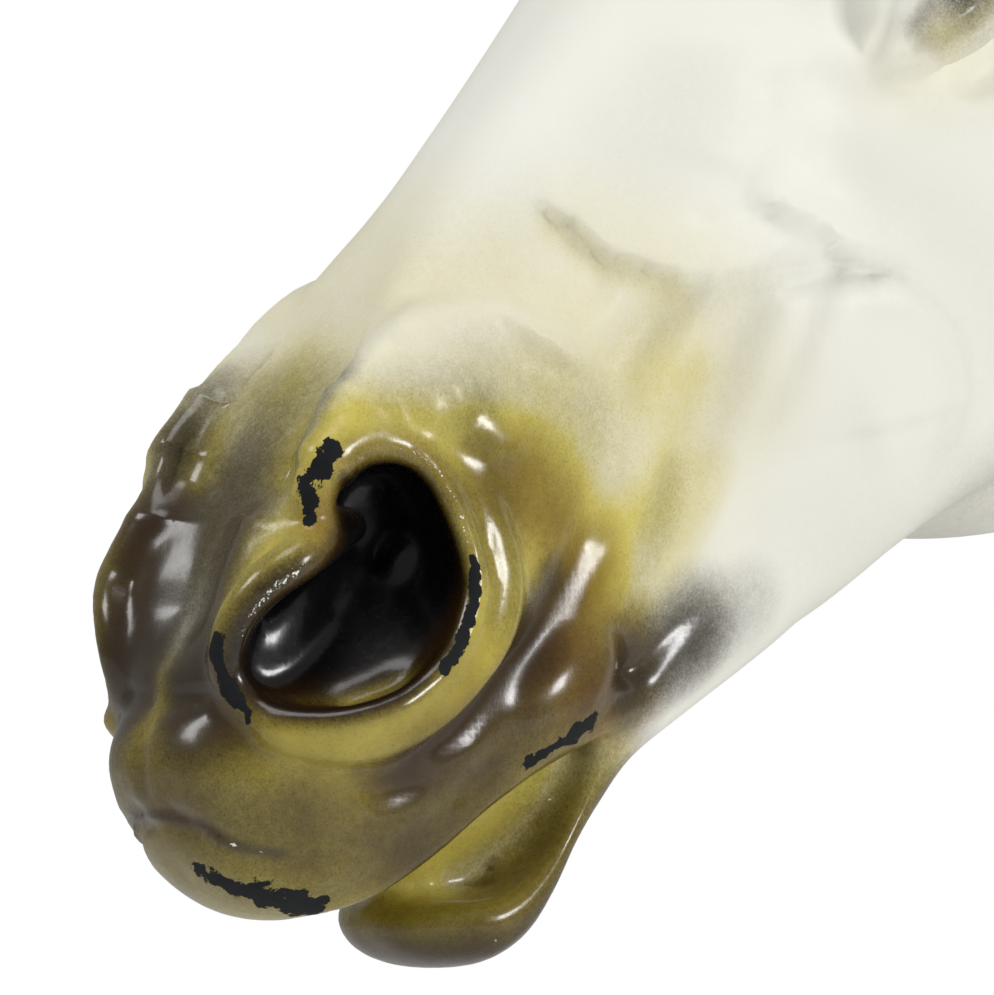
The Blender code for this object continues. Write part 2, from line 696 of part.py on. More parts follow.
# Each row: how high the ledge, how wide it fades, how wide its drop, and where; it is raised on the left
FOLDS = (
    # edge of the cheek muscle over the nose
    (3.4, 13, 1.8, (
        (15.5, 106.5, 37), (17.5, 107.5, 33.6), (21.5, 109, 26), (23, 111, 21),
        (25.6, 115.5, 14.6), (26.5, 118, 12),
    )),
    # edge below the eye
    (3.3, 13, 2.2, (
        (29, 133, 18), (30.3, 134.6, 14), (31.2, 136.3, 8), (32.3, 138.8, 2.3),
        (32.8, 143, -4), (34, 149, -10),
    )),
    # lower edge of the dome's arc
    (2.2, 7, 1.8, (
        (22, 84.5, 32.5), (22.6, 86.5, 29.5), (23.8, 88.8, 24), (24.9, 91.5, 17.5),
        (25.5, 94.5, 12),
    )),
    # mass over the crease of the top lip
    (1.5, 8, 1.2, (
        (-4, 1.8, 5.5), (0, 1.9, 5.4), (3.3, 2.7, 4.1), (7.6, 3.3, 3), (10.2, 3.2, 0.2),
        (12.9, 4, -2.9), (16.2, 6.6, -6),
    )),
    # back of the cheek bulge
    (3.0, 18, 3.0, (
        (29, 137.6, -41), (31.5, 143, -34), (33.3, 146, -25), (33.5, 144.5, -15),
        (32.7, 140, -7), (31.1, 130.5, 0),
    )),
)


def carve(clay):
    """Shapes the fused masses, broad swellings first."""
    clay.soften(2.2, shrink=True)
    for side, rows in ((0, SWELLINGS), (0, GROOVES), (1, LEFT_SWELLINGS)):
        for height, width, sharp, path in rows:
            clay.raise_by(path, width, height, sharp, side)
    for height, width, edge, path in FOLDS:
        clay.fold(path, width, height, edge)
    clay.soften(0.7)


def plaster_bust(grain):
    """The whole bust as one object, with its underside cut flat at the floor."""
    bust = fuse("horse_head_bust", block_out(), grain)
    carve(Clay(bust))
    bm = bmesh.new()
    bm.from_mesh(bust.data)
    below = bmesh.ops.bisect_plane(
        bm, geom=bm.verts[:] + bm.edges[:] + bm.faces[:], plane_co=(0, 0, 0), plane_no=(0, 0, -1), clear_outer=True
    )
    rim = [e for e in below["geom_cut"] if isinstance(e, bmesh.types.BMEdge)]
    bmesh.ops.holes_fill(bm, edges=rim, sides=0)
    bmesh.ops.triangulate(bm, faces=[f for f in bm.faces if len(f.verts) > 4])
    bmesh.ops.recalc_face_normals(bm, faces=bm.faces)
    bm.to_mesh(bust.data)
    bm.free()
    return bust


def clear_scene():
    for obj in list(bpy.data.objects):
        bpy.data.objects.remove(obj)


def centre_over_origin(obj):
    """Moves obj's mesh so that its bounding box stands centred on the origin."""
    corners = [Vector(corner) for corner in obj.bound_box]
    low = Vector(min(c[k] for c in corners) for k in range(3))
    high = Vector(max(c[k] for c in corners) for k in range(3))
    middle = (low + high) / 2
    obj.data.transform(Matrix.Translation((-middle.x, -middle.y, -low.z)))


def painted_plaster():
    material = bpy.data.materials.new("painted_plaster")
    material.use_nodes = True
    shader = material.node_tree.nodes["Principled BSDF"]
    shader.inputs["Base Color"].default_value = (0.78, 0.75, 0.64, 1)
    shader.inputs["Roughness"].default_value = 0.25
    shader.inputs["Metallic"].default_value = 0
    return material


def main(grain=SKIN_GRAIN, facets=FACETS):
    clear_scene()
    bust = plaster_bust(grain)
    if facets:
        thin = bust.modifiers.new("facets", "DECIMATE")
        thin.ratio = facets / sum(len(p.vertices) - 2 for p in bust.data.polygons)
        bake_modifiers(bust)
        centre_over_origin(bust)
    bust.data.shade_smooth()
    bust.data.materials.append(painted_plaster())
    return bust


main()
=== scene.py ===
"""Painted plaster horse head bust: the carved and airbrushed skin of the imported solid.

The bust is modelled again at a finer grain than the solid, with the same masses and the same tools,
so it keeps the solid's form and adds what is too fine for it. Places are given in parts: the head is
300 parts long, so at its real size a part is one millimetre. A head place is (side, back, up): side is
to the horse's left, back runs from the front of the upper lip towards the poll, and up is square to
both. A neck place is (side, back, height above the foot).

Paint is sprayed on the finished skin in strokes, each a path of head places, and kept as attributes
that the material reads.
"""

import math

import bmesh
import bpy
import numpy as np
from bpy.props import FloatProperty, FloatVectorProperty, PointerProperty
from mathutils import Matrix, Vector


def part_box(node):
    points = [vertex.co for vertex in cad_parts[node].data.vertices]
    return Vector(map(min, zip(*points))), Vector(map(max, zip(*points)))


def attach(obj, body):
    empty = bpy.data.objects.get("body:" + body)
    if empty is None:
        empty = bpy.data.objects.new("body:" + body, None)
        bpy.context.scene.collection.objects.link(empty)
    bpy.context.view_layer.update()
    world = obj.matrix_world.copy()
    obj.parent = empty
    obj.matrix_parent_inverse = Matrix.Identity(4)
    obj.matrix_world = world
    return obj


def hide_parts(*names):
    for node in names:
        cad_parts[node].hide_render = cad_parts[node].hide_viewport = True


bl_info = {
    "name": "Plaster horse head bust",
    "version": (1, 0, 0),
    "blender": (4, 5, 0),
    "location": "View3D > Sidebar > Horse bust",
    "description": "Models and paints a plaster horse head bust round its packed solid",
    "category": "Object",
}

NODE = "horse_head_bust"
SKIN = "horse_head_bust_skin"
SLOT = "painted_plaster"

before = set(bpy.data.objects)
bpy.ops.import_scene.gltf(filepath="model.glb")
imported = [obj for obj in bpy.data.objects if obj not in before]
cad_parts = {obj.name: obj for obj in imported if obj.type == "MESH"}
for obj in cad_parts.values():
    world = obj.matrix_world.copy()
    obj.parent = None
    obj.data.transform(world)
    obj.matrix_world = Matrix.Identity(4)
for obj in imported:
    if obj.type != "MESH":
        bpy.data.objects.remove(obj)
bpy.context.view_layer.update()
BUST_LOW, BUST_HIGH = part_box(NODE)

# The bust's height and the head's length, in parts
HEIGHT_IN_PARTS = 477.8
HEAD_IN_PARTS = 300

# Points round a section, a rope and an ear, and rings between two rows of a table
SECTION_POINTS = 48
ROPE_POINTS = 12
EAR_POINTS = 24
STEPS_BETWEEN = 5


class BustSizes(bpy.types.PropertyGroup):
    head_length: FloatProperty(
        name="Head length",
        description="From the front of the upper lip to the poll",
        default=round(BUST_HIGH.z * HEAD_IN_PARTS / HEIGHT_IN_PARTS, 4),
        min=0.1,
        max=1.0,
        subtype="DISTANCE",
        unit="LENGTH",
    )
    muzzle_height: FloatProperty(
        name="Muzzle height",
        description="Height of the upper lip above the foot",
        default=0.190,
        subtype="DISTANCE",
        unit="LENGTH",
    )
    foot_overhang: FloatProperty(
        name="Muzzle reach",
        description="How far the upper lip stands in front of the middle of the bust",
        default=0.176,
        subtype="DISTANCE",
        unit="LENGTH",
    )
    head_pitch: FloatProperty(
        name="Head pitch",
        description="How far the head is tipped nose down",
        default=math.radians(41),
        subtype="ANGLE",
        unit="ROTATION",
    )
    skin_grain: FloatProperty(
        name="Skin grain",
        description="Fineness of the skin before the muzzle is given a finer one",
        default=0.0033,
        min=0.002,
        max=0.01,
        precision=4,
        subtype="DISTANCE",
        unit="LENGTH",
    )


def colour_of(name, description, default):
    return FloatVectorProperty(
        name=name, description=description, default=default, min=0, max=1, size=3, subtype="COLOR"
    )


class BustPaint(bpy.types.PropertyGroup):
    plaster: colour_of("Plaster white", "The cream white of the bare painted plaster", (0.84, 0.83, 0.75))
    pale_ochre: colour_of("Pale ochre", "A light pass of ochre over the white", (0.62, 0.53, 0.12))
    ochre: colour_of("Ochre", "The full yellow olive of the muzzle", (0.31, 0.235, 0.022))
    sienna: colour_of("Sienna", "The warm brown round the corner of the mouth", (0.19, 0.095, 0.014))
    umber: colour_of("Umber", "The brown sprayed over the ochre", (0.031, 0.0135, 0.0025))
    # dark grey paint, also sprayed as painted shade in creases and hollows
    grey_and_shade: colour_of("Soot", "The dark grey shading", (0.036, 0.029, 0.018))
    black: colour_of("Black", "The black inside the nostrils", (0.003, 0.003, 0.0035))
    chip: colour_of("Chip", "Bare patches where paint has flaked off", (0.006, 0.007, 0.008))


class StudioSettings(bpy.types.PropertyGroup):
    camera_azimuth: FloatProperty(
        name="Camera azimuth",
        description="How far round from the front the camera stands, to the horse's left",
        default=math.radians(52),
        subtype="ANGLE",
        unit="ROTATION",
    )
    camera_distance: FloatProperty(
        name="Camera distance",
        description="From the camera to the plane through the muzzle",
        default=0.9,
        subtype="DISTANCE",
        unit="LENGTH",
    )
    view_width: FloatProperty(
        name="View width",
        description="How much of that plane the picture shows, from side to side",
        default=0.1493,
        precision=4,
        subtype="DISTANCE",
        unit="LENGTH",
    )
    backdrop: colour_of("Backdrop", "Colour of the floor and the surroundings", (0.93, 0.93, 0.93))


# Axes and curves


class Axes:
    """The head's and the neck's own axes, in parts, placed in the bust's frame."""

    def __init__(self, sizes):
        self.part = sizes.head_length / HEAD_IN_PARTS
        scale = Matrix.Scale(self.part, 4)
        muzzle = Matrix.Translation((0, -sizes.foot_overhang, sizes.muzzle_height))
        self.head = muzzle @ Matrix.Rotation(sizes.head_pitch, 4, "X") @ scale
        self.neck = Matrix.Translation((0, -sizes.foot_overhang, 0)) @ scale
        self.muzzle_level = sizes.muzzle_height / self.part


def spline(rows, steps=STEPS_BETWEEN):
    """A smooth run through the rows of a table: Catmull-Rom, with the end rows kept."""
    table = np.array(rows, float)
    padded = np.vstack((2 * table[0] - table[1], table, 2 * table[-1] - table[-2]))
    run = []
    for a, b, c, d in zip(padded, padded[1:], padded[2:], padded[3:]):
        for step in range(steps):
            t = step / steps
            run.append(
                b + 0.5 * t * (c - a + t * (2 * a - 5 * b + 4 * c - d + t * (3 * (b - c) + d - a)))
            )
    run.append(table[-1])
    return np.array(run)


def closed_spline(rows, steps=STEPS_BETWEEN):
    """The same round a closed loop."""
    table = np.array(rows, float)
    wrapped = np.vstack((table[-1], table, table[0], table[1]))
    return spline(wrapped, steps)[steps:-steps - 1]


# Blocking out: closed shells that overlap, fused later


def new_object(name, bm, matrix):
    bmesh.ops.recalc_face_normals(bm, faces=bm.faces)
    mesh = bpy.data.meshes.new(name)
    bm.to_mesh(mesh)
    bm.free()
    mesh.transform(matrix)
    obj = bpy.data.objects.new(name, mesh)
    bpy.context.scene.collection.objects.link(obj)
    return obj


def loft(name, rings, matrix):
    """A closed shell through rings of points, bridged one to the next, with a face over each end."""
    bm = bmesh.new()
    loops = []
    for ring in rings:
        points = [bm.verts.new(p) for p in ring]
        loops.append([bm.edges.new((a, b)) for a, b in zip(points, points[1:] + points[:1])])
    for a, b in zip(loops, loops[1:]):
        bmesh.ops.bridge_loops(bm, edges=a + b)
    bmesh.ops.holes_fill(bm, edges=loops[0] + loops[-1], sides=0)
    return new_object(name, bm, matrix)


def head_section(back, top, bottom, widest, half_width, crown, keel):
    """A ring round the head: a super-ellipse, with one squareness above its widest level, one below."""
    ring = []
    for k in range(SECTION_POINTS):
        turn = math.tau * k / SECTION_POINTS
        c, s = math.cos(turn), math.sin(turn)
        power = 2 / (crown if s >= 0 else keel)
        reach = top - widest if s >= 0 else widest - bottom
        side = half_width * math.copysign(abs(c) ** power, c)
        ring.append((side, back, widest + reach * math.copysign(abs(s) ** power, s)))
    return ring


def neck_section(back, height, lean, fore_aft, half_width, squareness):
    """A ring round the neck, leaning forward from level by lean degrees."""
    ring = []
    tilt = math.radians(lean)
    for k in range(SECTION_POINTS):
        turn = math.tau * k / SECTION_POINTS
        c, s = math.cos(turn), math.sin(turn)
        power = 2 / squareness
        side = half_width * math.copysign(abs(c) ** power, c)
        along = fore_aft * math.copysign(abs(s) ** power, s)
        ring.append((side, back + along * math.cos(tilt), height + along * math.sin(tilt)))
    return ring


def swept(name, path, matrix):
    """A round rope of changing thickness through rows of (side, back, up, radius)."""
    run = spline(path)
    points = [Vector(row[:3]) for row in run]
    rings = []
    for k, (point, row) in enumerate(zip(points, run)):
        along = (points[min(k + 1, len(points) - 1)] - points[max(k - 1, 0)]).normalized()
        turn = along.to_track_quat("Z", "Y")
        rings.append(
            [
                point + turn @ Vector((row[3] * math.cos(a), row[3] * math.sin(a), 0))
                for a in (math.tau * j / ROPE_POINTS for j in range(ROPE_POINTS))
            ]
        )
    return loft(name, rings, matrix)


def ball(name, centre, radii, matrix):
    """An ellipsoid at centre."""
    bm = bmesh.new()
    bmesh.ops.create_uvsphere(bm, u_segments=32, v_segments=20, radius=1)
    place = Matrix.Translation(centre) @ Matrix.Diagonal((*radii, 1))
    bmesh.ops.transform(bm, matrix=place, verts=bm.verts)
    return new_object(name, bm, matrix)


def mirrored(obj):
    """A copy of obj on the horse's right."""
    copy = obj.copy()
    copy.data = obj.data.copy()
    copy.data.transform(Matrix.Scale(-1, 4, (1, 0, 0)))
    copy.data.flip_normals()
    bpy.context.scene.collection.objects.link(copy)
    return copy


def both_sides(obj):
    return [obj, mirrored(obj)]


# back, top, bottom, widest level, half width, squareness above, squareness below
HEAD_STATIONS = (
    (0.0, 0, -9, -4, 6, 2.0, 2.0),
    (1.5, 5, -14, -4, 11, 2.0, 2.0),
    (4, 9.5, -18, -5, 15, 2.1, 2.2),
    (8, 14, -21.5, -6, 18, 2.2, 2.4),
    (14, 19.5, -23.5, -5, 20.5, 2.3, 2.6),
    (22, 26, -24.5, -3, 22.5, 2.5, 2.8),
    (32, 32, -25, 0, 25, 2.7, 3.0),
    (44, 37.5, -26, 3, 26.5, 2.9, 3.0),
    (58, 42, -29, 5, 26.5, 3.1, 2.8),
    (70, 44.5, -34, 5, 25.5, 2.9, 2.5),
    (82, 45, -42, 4, 24.5, 2.5, 2.4),
    (98, 46, -49.5, 3, 25, 2.2, 2.5),
    (115, 48.5, -54, 2, 27, 2.1, 2.7),
    (132, 51, -55, 0, 30.5, 2.1, 3.2),
    (150, 54, -59, -3, 35, 2.1, 3.2),
    (170, 58, -68, -6, 41, 2.1, 2.8),
    (190, 61.5, -77, -10, 45.5, 2.2, 2.4),
    (210, 65, -81, -12, 47.5, 2.3, 2.2),
    (230, 67, -79, -10, 46, 2.4, 2.2),
    (250, 66, -69, 0, 42, 2.4, 2.2),
    (270, 62, -48, 5, 36, 2.3, 2.2),
    (288, 55, -22, 12, 29, 2.2, 2.0),
    (300, 46, 0, 20, 21, 2.0, 2.0),
    (306, 38, 14, 25, 10, 2.0, 2.0),
)

CHIN_STATIONS = (
    (18.6, -34, -40, -37, 6, 2.0, 2.0),
    (20.4, -32.5, -43.5, -38, 10.5, 2.2, 2.2),
    (23.4, -32.5, -46.5, -39.5, 14.5, 2.6, 2.3),
    (27, -34, -49, -41.5, 17.5, 3.0, 2.3),
    (34, -38.5, -50.5, -42.5, 18.5, 3.2, 2.3),
    (42, -39.5, -48.5, -42, 18.3, 3.2, 2.3),
    (50, -38.5, -46, -40, 17.8, 3.0, 2.3),
    (58, -35, -45, -37, 18.2, 2.6, 2.3),
    (67, -30, -44.5, -34, 19, 2.2, 2.3),
    (80, -26, -47, -32, 20.5, 2.0, 2.3),
    (100, -25, -51, -32, 21, 2.0, 2.4),
    (115, -25, -53, -32, 21, 2.0, 2.4),
)

# back, height, lean, half depth, half width, squareness
NECK_STATIONS = (
    (250, -8, 0, 97, 64, 2.3),
    (250, 0, 0, 96, 63, 2.3),
    (252, 45, 0, 88, 56, 2.2),
    (257, 95, 0, 82, 50, 2.1),
    (263, 145, 0, 80, 46, 2.05),
    (267, 195, 4, 80, 42, 2.0),
    (268, 240, 10, 82, 39, 2.0),
    (262, 290, 19, 78, 37, 2.0),
    (247, 335, 31, 68, 34, 2.0),
    (227, 368, 45, 54, 30, 2.0),
    (207, 389, 59, 42, 26, 2.0),
    (192, 399, 70, 31, 20, 2.0),
)

# Round masses, each a centre and its radii
TONGUE = ((0, 52, -29.5), (12.5, 27, 11.5))
MOUTH_CORNER = ((16.3, 58, -19), (11, 18, 11))
EYEBALL = ((34.5, 178.5, 23.5), (12.5, 13, 11.5))
GULLET_BACK, GULLET_OVER_MUZZLE, GULLET_RADII = 150, 73, (23, 62, 27)

# An ear: side, back, up, half width, half depth
EAR = (
    (18, 283, 42, 10, 10),
    (21, 289, 54, 11.5, 10),
    (24, 296, 66, 12.5, 9),
    (26, 303, 78, 12, 8),
    (27, 310, 90, 9, 6.5),
    (27, 316, 100, 5, 4.2),
    (26, 319.5, 107, 1.4, 1.4),
)
# The direction of its depth, square to its length, which leans back
EAR_LEAN_BACK, EAR_LEAN_DOWN = 0.87, 0.5

# Locks of the mane, how far up the neck the first one springs, and how far below it the last one
MANE_LOCKS = 15
FIRST_LOCK = 0.97
LOCKS_SPAN = 0.83

# One lock: share of its fall, turn round the neck, lift off the skin, thickness as a share of its own
LOCK_FORM = (
    (-0.10, 76, -3, 0.85),
    (0.00, 90, 1, 1.0),
    (0.12, 106, 3, 1.05),
    (0.35, 124, 3, 1.05),
    (0.60, 140, 3, 0.95),
    (0.82, 151, 2, 0.7),
    (1.00, 158, 0, 0.3),
)

# The nostril's rim, from its front end over the top and round to the wing that rolls back inside
NOSTRIL_RIM = (
    (18.6, 42.5, 31.2, 2.4),
    (19.4, 46.0, 33.2, 3.0),
    (20.3, 50.0, 34.0, 3.0),
    (21.4, 54.4, 32.8, 2.6),
    (23.0, 58.2, 29.6, 2.3),
    (25.0, 59.9, 25.5, 2.1),
    (26.5, 59.7, 21.3, 2.2),
    (28.0, 58.0, 16.5, 2.2),
    (29.5, 55.7, 12.2, 2.2),
    (30.3, 52.7, 7.6, 2.3),
    (30.6, 48.1, 4.6, 2.4),
    (30.5, 42.8, 2.5, 2.5),
    (30.0, 36.6, 1.9, 2.6),
    (29.5, 30.3, 3.0, 2.7),
    (27.5, 24.5, 5.4, 2.7),
    (24.3, 20.3, 8.2, 2.7),
    (20.3, 17.8, 11.2, 2.7),
    (16.6, 17.0, 14.6, 2.7),
    (14.4, 17.6, 18.2, 2.8),
    (14.2, 19.2, 21.6, 3.0),
    (15.2, 22.0, 24.4, 3.3),
    (17.2, 25.8, 26.8, 3.6),
    (19.6, 30.5, 27.8, 3.8),
    (20.8, 36.0, 27.0, 3.8),
    (18.8, 42.8, 24.8, 3.5),
    (14.0, 50.8, 21.0, 3.0),
)
# The stretch of the rim that goes round the opening
RIM_OPEN = slice(2, 24)
CLOSING_POINT = (16.2, 46.0, 27.5)
INTO_NOSTRIL = Vector((-0.72, 0.66, 0.05)).normalized()

# The thick roll behind the rim, on the cheek side
NOSTRIL_ROLL = (
    (22.0, 64.0, 24.0, 3.0),
    (23.5, 63.8, 17.0, 4.0),
    (25.0, 61.8, 9.0, 4.5),
    (26.0, 57.5, 2.5, 4.8),
    (26.3, 51.0, -1.2, 5.0),
    (26.3, 44.0, -2.8, 5.0),
    (26.0, 36.7, -2.6, 5.0),
    (25.3, 29.2, -0.6, 4.6),
    (23.8, 22.6, 3.0, 4.0),
    (21.5, 17.6, 8.0, 3.2),
    (19.5, 15.0, 13.0, 2.4),
)

# The crest from the dome over the right nostril down to its front, fuller than the left one
RIGHT_CREST = (
    (17.5, 93.0, 33.0, 2.0),
    (17.0, 87.0, 35.5, 4.0),
    (16.3, 79.5, 37.0, 4.8),
    (15.4, 71.5, 37.0, 4.2),
    (14.9, 64.5, 37.0, 3.6),
    (15.0, 58.0, 37.6, 3.7),
    (14.6, 50.2, 37.4, 4.1),
    (14.2, 46.0, 35.9, 4.2),
    (14.2, 40.9, 33.8, 4.2),
    (15.2, 36.5, 31.8, 4.2),
    (17.5, 31.4, 29.2, 4.0),
)

# The fold that lies inside the wing
INNER_FOLD = (
    (13.0, 21.0, 15.0, 2.5),
    (12.5, 25.5, 18.0, 4.0),
    (11.5, 32.0, 18.5, 4.5),
    (9.5, 39.5, 17.5, 4.5),
    (7.0, 47.0, 15.5, 4.0),
)

# Two ridges on the wall of the hollow
INNER_RIDGES = (
    (
        (10.6, 39.5, 13.5, 1.6), (11.4, 36.5, 14.9, 3.0), (12.6, 32.5, 16.0, 3.4),
        (13.6, 27.5, 15.9, 3.0), (14.3, 23.5, 15.2, 2.0),
    ),
    (
        (15.0, 58.0, 13.6, 1.6), (14.6, 55.0, 12.2, 2.6), (14.2, 51.5, 11.0, 2.6),
        (13.6, 48.5, 10.4, 1.4),
    ),
)

# How deep each ring of the hollow lies, and its size as a share of the rim's
NOSTRIL_DEPTHS = ((-12, 1.0), (-2, 0.97), (3, 0.88), (8, 0.76), (13, 0.6), (17, 0.4), (19, 0.18))

# The margin of the upper lip, from the front to the corner of the mouth
UPPER_LIP = (
    (0.0, 5.0, -12.0, 3.0),
    (8.0, 7.5, -16.0, 3.4),
    (14.0, 15.5, -19.8, 3.6),
    (17.0, 26.0, -21.3, 3.8),
    (18.5, 38.0, -22.0, 4.0),
    (19.0, 50.0, -23.8, 4.4),
    (19.0, 59.0, -26.8, 4.4),
    (18.5, 67.0, -31.0, 3.4),
    (17.0, 74.0, -34.0, 2.0),
)

UPPER_LID = (
    (37.0, 161.0, 18.5, 1.6),
    (42.5, 166.5, 26.0, 2.6),
    (45.8, 174.0, 31.5, 3.0),
    (46.2, 182.5, 32.5, 3.0),
    (44.3, 190.0, 28.5, 2.4),
    (41.0, 196.5, 22.0, 1.4),
)
LOWER_LID = (
    (37.0, 161.0, 18.5, 1.6),
    (42.6, 167.0, 16.5, 2.2),
    (45.6, 174.5, 14.5, 2.4),
    (46.0, 183.0, 15.0, 2.3),
    (44.3, 190.5, 18.3, 1.9),
    (41.0, 196.5, 22.0, 1.4),
)

FORELOCK = (
    (
        (0, 296, 52, 7), (-3, 283, 65, 6), (-4, 268, 69, 5.5), (-1, 252, 71.5, 5),
        (3, 236, 71.5, 4), (3, 222, 69.5, 2),
    ),
    (
        (7, 294, 50, 6), (8, 281, 63, 6), (9, 266, 67.5, 5.5), (12, 251, 69, 4.5),
        (11, 238, 69.5, 3.5), (8, 226, 69, 1.6),
    ),
    (
        (-8, 294, 50, 6), (-10, 281, 62, 5.5), (-12, 266, 66, 5), (-9, 252, 69.5, 4.5),
        (-8, 241, 70, 3), (-10, 230, 68, 1.5),
    ),
)


def block_out(axes):
    """The masses of the bust, and the hollows that are cut from them."""
    head = loft("head", [head_section(*row) for row in spline(HEAD_STATIONS)], axes.head)
    chin = loft("chin", [head_section(*row) for row in spline(CHIN_STATIONS)], axes.head)
    neck = loft("neck", [neck_section(*row) for row in spline(NECK_STATIONS)], axes.neck)
    gullet_centre = (0, GULLET_BACK, axes.muzzle_level + GULLET_OVER_MUZZLE)
    gullet = ball("gullet", gullet_centre, GULLET_RADII, axes.neck)
    tongue = ball("tongue", *TONGUE, axes.head)

    # The nostril: a hollow inside the rim that runs in and back under its upper end
    opening = nostril_opening()
    centre = sum(opening, Vector()) / len(opening)
    rings = []
    for depth, spread in NOSTRIL_DEPTHS:
        ring = closed_spline([centre + (p - centre) * spread + INTO_NOSTRIL * depth for p in opening], 3)
        rings.append(ring)
    for hollow in both_sides(loft("nostril_hollow", rings, axes.head)):
        cut(head, hollow)

    masses = [head, chin, neck, gullet, tongue]
    for name, rows in (
        ("nostril_rim", NOSTRIL_RIM),
        ("nostril_roll", NOSTRIL_ROLL),
        ("inner_fold", INNER_FOLD),
        ("upper_lip", UPPER_LIP),
        ("upper_lid", UPPER_LID),
        ("lower_lid", LOWER_LID),
    ):
        masses += both_sides(swept(name, rows, axes.head))
    crest = swept("right_crest", RIGHT_CREST, axes.head)
    masses.append(mirrored(crest))
    bpy.data.objects.remove(crest)
    for ridge in INNER_RIDGES:
        masses += both_sides(swept("inner_ridge", ridge, axes.head))
    masses += both_sides(ball("mouth_corner", *MOUTH_CORNER, axes.head))
    masses += both_sides(ball("eyeball", *EYEBALL, axes.head))
    masses += both_sides(ear(axes))
    masses += [swept("lock", lock, axes.neck) for lock in mane_locks()]
    masses += [swept("forelock", lock, axes.head) for lock in FORELOCK]
    return masses


def nostril_opening():
    """The places round the mouth of the nostril."""
    return [Vector(row[:3]) for row in NOSTRIL_RIM[RIM_OPEN]] + [Vector(CLOSING_POINT)]


def neck_point(share, turn, lift):
    """A place on the neck's skin: share of the way up, turn round from its left, lifted off by lift."""
    table = spline(NECK_STATIONS)
    at = np.linspace(0, 1, len(table))
    back, height, lean, depth, width, _ = (np.interp(share, at, column) for column in table.T)
    turn = math.radians(turn)
    along = (depth + lift) * math.sin(turn)
    side = (width + lift) * math.cos(turn)
    tilt = math.radians(lean)
    return side, back + along * math.cos(tilt), height + along * math.sin(tilt)


def mane_locks():
    """Locks that spring from the crest of the neck and hang down its right side."""
    locks = []
    for k in range(MANE_LOCKS):
        root = FIRST_LOCK - LOCKS_SPAN * k / (MANE_LOCKS - 1)
        # each lock falls, waves and swells a little differently from the next
        fall = 0.19 + 0.03 * math.sin(2.4 * k)
        wave = 0.014 * math.sin(1.7 * k + 1)
        thick = 8 + 1.2 * math.sin(2.9 * k)
        rows = []
        for part, turn, lift, girth in LOCK_FORM:
            share = max(root - fall * part + wave * math.sin(6 * part), 0.03)
            rows.append((*neck_point(share, turn, lift), thick * girth))
        locks.append(rows)
    return locks


def ear(axes):
    """A pricked ear: a tapering leaf, hollowed later."""
    rings = []
    for side, back, up, wide, deep in spline(EAR):
        ring = []
        for k in range(EAR_POINTS):
            turn = math.tau * k / EAR_POINTS
            across = side + wide * math.cos(turn)
            along = deep * math.sin(turn)
            ring.append((across, back + along * EAR_LEAN_BACK, up - along * EAR_LEAN_DOWN))
        rings.append(ring)
    return loft("ear", rings, axes.head)


def cut(obj, cutter):
    """Takes cutter out of obj for good."""
    modifier = obj.modifiers.new("cut", "BOOLEAN")
    modifier.operation = "DIFFERENCE"
    modifier.object = cutter
    bake_modifiers(obj)
    bpy.data.objects.remove(cutter)


def bake_modifiers(obj):
    """Replaces obj's mesh by what its modifiers make of it."""
    graph = bpy.context.evaluated_depsgraph_get()
    mesh = bpy.data.meshes.new_from_object(obj.evaluated_get(graph))
    obj.modifiers.clear()
    obj.data = mesh


# Fusing: one skin over the masses, finer near the muzzle

# How much finer the muzzle is, over what reach, how fast that fades, and where its middle lies
MUZZLE_ZOOM = 3.1
ZOOM_REACH = 62
ZOOM_FALL = 0.225
ZOOM_CENTRE = (0, 38, 0)
# The zoom is read from a table that runs this far, in metres, in so many steps
ZOOM_TABLE_END = 3.0
ZOOM_TABLE_STEPS = 6000


def zoomed(points, axes, outwards=True):
    """Moves points away from the muzzle, so that an even grain there becomes finer, or back again."""
    centre = np.array(axes.head @ Vector(ZOOM_CENTRE))
    reach = np.linspace(0, ZOOM_TABLE_END, ZOOM_TABLE_STEPS)
    pushed = MUZZLE_ZOOM * reach * (1 + (reach / (ZOOM_REACH * axes.part)) ** 2) ** -ZOOM_FALL
    arm = points - centre
    distance = np.linalg.norm(arm, axis=1)
    table = (reach, pushed) if outwards else (pushed, reach)
    scale = np.interp(distance, *table) / np.maximum(distance, 1e-9)
    return centre + arm * scale[:, None]


def read_points(mesh):
    points = np.empty(len(mesh.vertices) * 3)
    mesh.vertices.foreach_get("co", points)
    return points.reshape(-1, 3)


def write_points(mesh, points):
    mesh.vertices.foreach_set("co", points.ravel())
    mesh.update()


def fuse(name, masses, axes, grain):
    """One closed skin round all the masses."""
    bm = bmesh.new()
    for mass in masses:
        bm.from_mesh(mass.data)
        bpy.data.objects.remove(mass)
    bmesh.ops.triangulate(bm, faces=[f for f in bm.faces if len(f.verts) > 4])
    obj = new_object(name, bm, Matrix.Identity(4))
    write_points(obj.data, zoomed(read_points(obj.data), axes))
    remesh = obj.modifiers.new("skin", "REMESH")
    remesh.mode = "VOXEL"
    remesh.voxel_size = grain
    bake_modifiers(obj)
    write_points(obj.data, zoomed(read_points(obj.data), axes, outwards=False))
    return obj


# Carving


# How far each round of softening pulls the skin in, and pushes it out again to keep its volume
PULLS = (0.55, -0.57)

# How much of its height a groove and a swelling keep at the ends of their path
GROOVE_END = 0.05
SWELLING_END = 0.4

# How far the fused masses are softened before carving, and the carving afterwards, in parts
SOFTEN_MASSES = 2.2
SOFTEN_CARVING = 0.7


